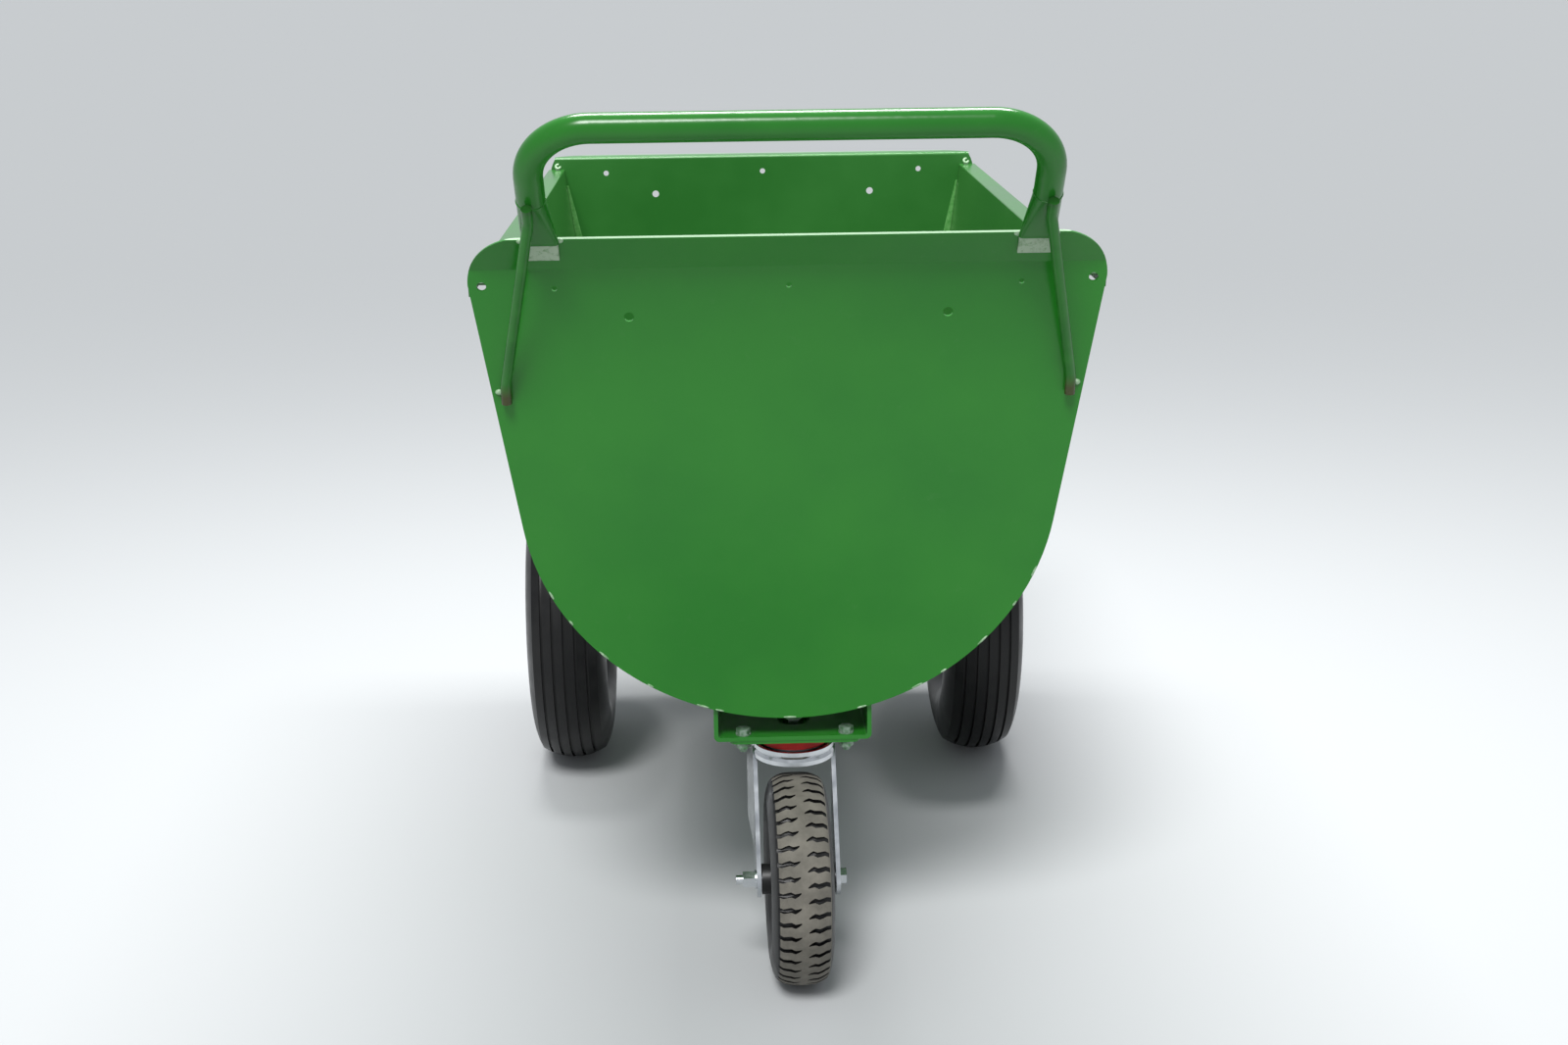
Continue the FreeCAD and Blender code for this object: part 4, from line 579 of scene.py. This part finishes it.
def crown_radius(across):
    """The uncut tread's radius at a distance from the tyre's middle."""
    for (near, near_radius), (far, far_radius) in zip(HALF_TYRE, HALF_TYRE[1:]):
        if near <= across < far:
            return near_radius + (far_radius - near_radius) * (across - near) / (far - near)
    return HALF_TYRE[0][1]


def is_dusty(face):
    across = face.center.x / MM
    out = math.hypot(face.center.y, face.center.z) / MM
    facing = (face.normal.y * face.center.y + face.normal.z * face.center.z) / (out * MM)
    raised = out > crown_radius(abs(across)) - TOP_DEPTH and facing > TOP_FACING
    return raised and DUST_FROM < across < DUST_TO


caster_tread.data.materials.append(RUBBER)
caster_tread.data.materials.append(DUSTY)
for face in caster_tread.data.polygons:
    face.material_index = int(is_dusty(face))
print("dusty faces:", sum(face.material_index for face in caster_tread.data.polygons))

# %% [markdown]
# ## Set the tyre on the caster wheel
#
# The tyre was modelled round its own axle at the scene's origin. The caster stands turned by
# under two degrees, as photographed, and the wheel trails 50 mm behind its swivel. The place goes
# into the mesh, so that the object stays at the origin like every construction node.

# %% Place the tyre and hand it to the wheel
CASTER_TURN = math.radians(1.7)
SWIVEL_X, SWIVEL_Y = 5.2, 160.12
TRAIL = 50
CASTER_RADIUS = 110
CASTER_MIDDLE = from_datum(SWIVEL_X + TRAIL * math.sin(CASTER_TURN),
                           SWIVEL_Y - TRAIL * math.cos(CASTER_TURN), CASTER_RADIUS)
caster_tread.data.transform(Matrix.Translation(CASTER_MIDDLE)
                            @ Matrix.Rotation(CASTER_TURN, 4, "Z"))
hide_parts("caster_tyre")
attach(caster_tread, "caster_wheel")
print("caster tyre centred at", [round(value, 4) for value in CASTER_MIDDLE])

# %% [markdown]
# ## Places on the leaning plate
#
# Most welds sit on the rear plate or on its flange, which lean by different angles. On the
# trolley they would be measured along the sheet: so far across, so far down from the hole row or
# up from the fold. These helpers turn such a measure into a frame to lay a weld in, with X
# across, Z up the sheet and -Y out of it.

# %% Frames on the rear plate and its flange
HOLE_ROW_Z = 752.0
PLATE_LEAN = math.radians(13)
FLANGE_LEAN = math.radians(38)
FOLD_Y, FOLD_Z = -4.27, 770.51


def laid_on(x, y, z, lean, spin=0.0):
    """A frame at a point, leaned back about X and spun in its own plane."""
    return (Matrix.Translation(from_datum(x, y, z)) @ Matrix.Rotation(lean, 4, "X")
            @ Matrix.Rotation(spin, 4, "Y"))


def on_plate(x, drop, spin=0.0):
    """A place on the rear plate's face, so far down its slope from the hole row."""
    return laid_on(x, drop * math.sin(PLATE_LEAN), HOLE_ROW_Z - drop * math.cos(PLATE_LEAN),
                   PLATE_LEAN, spin)


def on_flange(x, rise, out=0.0):
    """A place on the rear flange's face, so far up from its fold and out from it."""
    y = FOLD_Y - rise * math.sin(FLANGE_LEAN) - out * math.cos(FLANGE_LEAN)
    z = FOLD_Z + rise * math.cos(FLANGE_LEAN) - out * math.sin(FLANGE_LEAN)
    return laid_on(x, y, z, FLANGE_LEAN)


print("a weld 100 mm down the plate:", [round(v, 4) for v in on_plate(0, 100).translation])

# %% [markdown]
# ## A mound of weld metal
#
# A short weld is a low mound of once-molten metal, longer than it is wide and rooted in the
# sheet. A scaled sphere alone would show a round edge where it meets the steel. So it starts as a
# sphere, is cut flat where it lies on the steel, and is then drawn out to its length, width and
# height.

# %% Weld mounds
BASE_BODY = "trolley"
SEAT = 0.3  # how deep a mound sinks behind the surface, as a share of its height


def cut_flat():
    bpy.ops.mesh.bisect(plane_co=(0, SEAT * MM, 0), plane_no=(0, 1, 0), use_fill=True,
                        clear_outer=True)


def weld_mound(length, width, height):
    """A mound of weld metal, long across, low towards the viewer and cut flat behind."""
    bpy.ops.object.select_all(action="DESELECT")
    bpy.ops.mesh.primitive_uv_sphere_add(segments=20, ring_count=12, radius=MM)
    item = bpy.context.object
    in_edit(cut_flat)
    item.data.transform(Matrix.Diagonal((length / 2, height, width / 2, 1)))
    bpy.ops.object.shade_smooth_by_angle(angle=math.radians(40))
    return item


def fix_piece(item, name, place, material):
    """Gives a finished piece its name, place and finish, and lets it ride on the trolley."""
    item.name = name
    item.data.transform(place)
    item.data.materials.clear()
    item.data.materials.append(material)
    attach(item, BASE_BODY)


print("weld metal rides on:", BASE_BODY)

# %% [markdown]
# ## Weld stitches round the rear plate
#
# The rear plate is held to the tub by short stitches of weld, which show as pale beads along its
# round rim. They could be spaced evenly by a loop, but they were set by hand on the real trolley
# and differ in length, so each has its own angle from the lowest point and its own length.

# %% The rim's stitches
TUB_AXIS_Z = 543.0
STITCH_RADIUS = 258.9
STITCH_WIDTH, STITCH_HEIGHT = 2.2, 0.8
STITCHES = ((-65, 10), (-57, 7), (-46, 13), (-33, 7), (-20, 13), (-16, 9), (0, 13), (16.5, 10),
            (30, 12), (37, 7), (48.5, 14), (60, 7), (69, 12))  # degrees, length
axis_drop = (HOLE_ROW_Z - TUB_AXIS_Z) / math.cos(PLATE_LEAN)
for index, (degrees, length) in enumerate(STITCHES):
    angle = math.radians(degrees)
    stitch = weld_mound(length, STITCH_WIDTH, STITCH_HEIGHT)
    place = on_plate(STITCH_RADIUS * math.sin(angle),
                     axis_drop + STITCH_RADIUS * math.cos(angle), -angle)
    fix_piece(stitch, f"rim_stitch_{index + 1}", place, PALE)
print("stitches:", len(STITCHES))

# %% [markdown]
# ## A bead spun round a ring
#
# A weld that runs round a tube is a thin ring of metal. It could be a torus, but the curls
# further down are open rings with closed ends. One helper therefore spins a round section
# through any turn, merges where a full turn meets itself, and fills the ends that stay open.

# %% Spun beads
SECTION_SIDES = 12
SPIN_STEPS = 48


def spun_bead(radius, thickness, turn, lean):
    """A round section spun about Z through a turn, then leaned, its open ends closed."""
    around = [2 * math.pi * step / SECTION_SIDES for step in range(SECTION_SIDES)]
    points = [(radius + thickness * math.cos(way), 0, thickness * math.sin(way))
              for way in around]
    edges = [(index, (index + 1) % SECTION_SIDES) for index in range(SECTION_SIDES)]
    item = start_mesh("bead", points, edges)

    def spin():
        bpy.ops.mesh.spin(steps=SPIN_STEPS, angle=math.radians(turn), center=(0, 0, 0),
                          axis=(0, 0, 1))
        bpy.ops.mesh.select_all(action="SELECT")
        bpy.ops.mesh.remove_doubles(threshold=0.01 * MM)
        bpy.ops.mesh.fill_holes(sides=0)
        bpy.ops.mesh.select_all(action="SELECT")
        bpy.ops.mesh.normals_make_consistent(inside=False)

    in_edit(spin)
    item.data.transform(Matrix.Rotation(math.radians(lean), 4, "X"))
    bpy.ops.object.shade_smooth_by_angle(angle=math.radians(50))
    return item


print("sides of a bead's section:", SECTION_SIDES)

# %% [markdown]
# ## Welds on the handle's legs
#
# Each leg has a thin ring round it, under the same green as the tube, and two pale mounds where
# its flat end meets the flange. Both sides of the trolley are alike, so one loop sets the left
# and the right, and the sign of the side mirrors the place.

# %% Leg welds
SIDES = (("left", -1), ("right", 1))
LEG_X, RING_RISE, RING_OUT = 226.3, 91, 3.5
FLAT_END_RISE, FLAT_END_OUT = 37.2, 0.5
FLAT_END_MOUNDS = (("inner", 206, 8), ("outer", 241, 6))  # name, distance across, length
for name, side in SIDES:
    ring = spun_bead(radius=13.1, thickness=0.55, turn=360, lean=0)
    fix_piece(ring, f"leg_weld_{name}", on_flange(side * LEG_X, RING_RISE, RING_OUT), GREEN)
    for part, across, length in FLAT_END_MOUNDS:
        mound = weld_mound(length, width=5, height=2.2)
        place = on_flange(side * across, FLAT_END_RISE, FLAT_END_OUT)
        fix_piece(mound, f"flange_weld_{part}_{name}", place, PALE)
print("welds to a leg:", 1 + len(FLAT_END_MOUNDS))

# %% [markdown]
# ## Welds at the feet of the braces
#
# Each brace's rod ends flat against the rear plate and is held there by one mound beside it. It
# is nearly as wide as it is long, because it was laid on in one spot and not drawn along.

# %% Brace welds
BRACE_X, BRACE_DROP = 270.6, 102.5
for name, side in SIDES:
    mound = weld_mound(length=8, width=6, height=2.4)
    fix_piece(mound, f"brace_weld_{name}", on_plate(side * BRACE_X, BRACE_DROP), PALE)

# %% [markdown]
# ## Filled front corners
#
# Inside the tub, the corner between each side and the front plate is filled, which keeps feed
# from catching there. The filler is thin at the rim and tapers again further down. Its section
# is a small triangle between the two sheets, drawn at a few heights and bridged with faces. A
# bevel on the corner would be even all the way, and the real fillet is not.

# %% Corner seams
SEAM_LEVELS = ((736, 1.5), (700, 5.5), (662, 9.0), (600, 10.0), (548, 5.0))  # height, width
SEAM_FRONT, SEAM_BACK = 990.9, 987.6
WALL_SLOPE = math.tan(math.radians(7.5))
WALL_X, WALL_TOP = 270.0, 756.4
TRIANGLE = ((0, 1), (1, 2), (2, 0))


def seam_points(side):
    points = []
    for z, width in SEAM_LEVELS:
        wall = WALL_X - WALL_SLOPE * (WALL_TOP - z)
        points += [(side * wall, SEAM_FRONT, z), (side * wall, SEAM_BACK, z),
                   (side * (wall - width), SEAM_FRONT, z)]
    return points


def seam_faces():
    faces = []
    for row in range(len(SEAM_LEVELS) - 1):
        low, high = 3 * row, 3 * row + 3
        faces += [(low + first, low + second, high + second, high + first)
                  for first, second in TRIANGLE]
    last = 3 * (len(SEAM_LEVELS) - 1)
    return faces + [(0, 1, 2), (last, last + 1, last + 2)]


def turn_faces_outwards():
    bpy.ops.mesh.normals_make_consistent(inside=False)


for name, side in SIDES:
    seam = start_mesh("corner_seam", seam_points(side), [], seam_faces())
    in_edit(turn_faces_outwards)
    fix_piece(seam, f"corner_seam_{name}", Matrix.Translation((0, -MIDDLE_Y, 0)), PALE_GREEN)
print("seam height in mm:", SEAM_LEVELS[0][0] - SEAM_LEVELS[-1][0])

# %% [markdown]
# ## Curls at the rim ends
#
# Where each side rim meets the front plate, a small curl of pale metal stands on it, like a
# ring that is not quite closed. It could be a curve with a round bevel. The spun bead from
# above is already at hand, and makes it with less than a full turn and a lean.

# %% Rim curls
CURL_X, CURL_Y, CURL_Z = 279, 985, 762.5
for name, side in SIDES:
    curl = spun_bead(radius=2.9, thickness=1.7, turn=290, lean=60)
    fix_piece(curl, f"rim_curl_{name}", laid_on(side * CURL_X, CURL_Y, CURL_Z, 0), PALE)

# %% [markdown]
# ## Camera
#
# The camera stands where the photograph was taken from, behind the trolley's left half, a little
# above the handle and about 1.9 m back. Place, angles and lens come from fitting the trolley's
# own points to the photograph. The lens length was found in pixels, and a 36 mm sensor as wide
# as the picture turns that into millimetres.

# %% Camera
PHOTO_WIDTH = 1600
LENS_PIXELS = 2132.0
SENSOR_WIDTH = 36.0
CAMERA_TURNS = (-1.78, 15.52, -0.68)  # yaw, downward pitch and roll in degrees
CAMERA_PLACE = from_datum(-66, -1898, 1054)
VIEW_DISTANCE = 2000.0  # far enough to see the floor's edge as a horizon


def photo_axes():
    """The camera's right, up and forward directions."""
    yaw, pitch, roll = (math.radians(angle) for angle in CAMERA_TURNS)
    right = Vector((math.cos(yaw), math.sin(yaw), 0))
    ahead = Vector((-math.sin(yaw) * math.cos(pitch), math.cos(yaw) * math.cos(pitch),
                    -math.sin(pitch)))
    rolled = math.cos(roll) * right + math.sin(roll) * right.cross(ahead)
    return rolled, rolled.cross(ahead), ahead


def place_camera():
    data = bpy.data.cameras.new("photo_camera")
    data.sensor_width = SENSOR_WIDTH
    data.lens = LENS_PIXELS * SENSOR_WIDTH / PHOTO_WIDTH
    data.clip_end = VIEW_DISTANCE
    camera = bpy.data.objects.new("photo_camera", data)
    bpy.context.scene.collection.objects.link(camera)
    right, up, ahead = photo_axes()
    turn = Matrix((right, up, -ahead)).transposed().to_4x4()
    camera.matrix_world = Matrix.Translation(CAMERA_PLACE) @ turn
    bpy.context.scene.camera = camera
    return camera


camera = place_camera()
print("camera at", [round(value, 3) for value in camera.matrix_world.translation],
      "lens", round(camera.data.lens, 2))

# %% [markdown]
# ## Floor
#
# The surroundings are left out, and a pale matt floor stands in for them. It is only for the
# picture and is not part of the trolley. It is a light grey and not white, because a white floor
# throws so much light upwards that the green turns flat. It is very wide, so that its edge lies
# at the horizon.

# %% Floor
FLOOR_SIZE = 800


def stage_floor():
    bpy.ops.mesh.primitive_plane_add(size=FLOOR_SIZE, location=(0, 0, 0))
    floor = bpy.context.object
    floor.name = "floor"
    material = bpy.data.materials.new("floor_white")
    material.use_nodes = True
    feed(material.node_tree.nodes["Principled BSDF"], Base_Color=srgb("b4b6b7"),
         Roughness=0.95, Specular_IOR_Level=0.1)
    floor.data.materials.append(material)
    return floor


print("floor:", stage_floor().name)

# %% [markdown]
# ## Light
#
# The photograph's light is soft and comes from high behind the camera. A sun seen under a wide
# angle gives that, as a bright sky with thin cloud would, and a faint even sky fills the shadows.
# One long light above the trolley gives the handle its bright line, as a lamp in a studio would.

# %% Sky, sun and handle light
SUN_STRENGTH, SUN_SPREAD, SUN_HEIGHT, SUN_ASIDE = 3.0, 20, 52, -14
LINE_PLACE, LINE_TARGET = Vector((0.1, 0.6, 2.6)), Vector((0, -0.5, 0.85))
LINE_WIDTH, LINE_DEPTH, LINE_POWER = 1.7, 0.5, 85


def link_light(data):
    light = bpy.data.objects.new(data.name, data)
    bpy.context.scene.collection.objects.link(light)
    return light


def light_sky(colour, strength):
    world = bpy.data.worlds.new("studio")
    world.use_nodes = True
    feed(world.node_tree.nodes["Background"], Color=srgb(colour), Strength=strength)
    bpy.context.scene.world = world


def soft_sun():
    data = bpy.data.lights.new("soft_sun", "SUN")
    data.energy = SUN_STRENGTH
    data.angle = math.radians(SUN_SPREAD)
    turn = (math.radians(90 - SUN_HEIGHT), 0, math.radians(SUN_ASIDE))
    link_light(data).rotation_euler = turn


def handle_line():
    data = bpy.data.lights.new("handle_line", "AREA")
    data.shape = "RECTANGLE"
    data.size = LINE_WIDTH
    data.size_y = LINE_DEPTH
    data.energy = LINE_POWER
    light = link_light(data)
    light.location = LINE_PLACE
    light.rotation_euler = (LINE_TARGET - LINE_PLACE).to_track_quat("-Z", "Y").to_euler()


light_sky("eef3f8", 0.6)
soft_sun()
handle_line()
bpy.context.scene.view_settings.view_transform = "Standard"
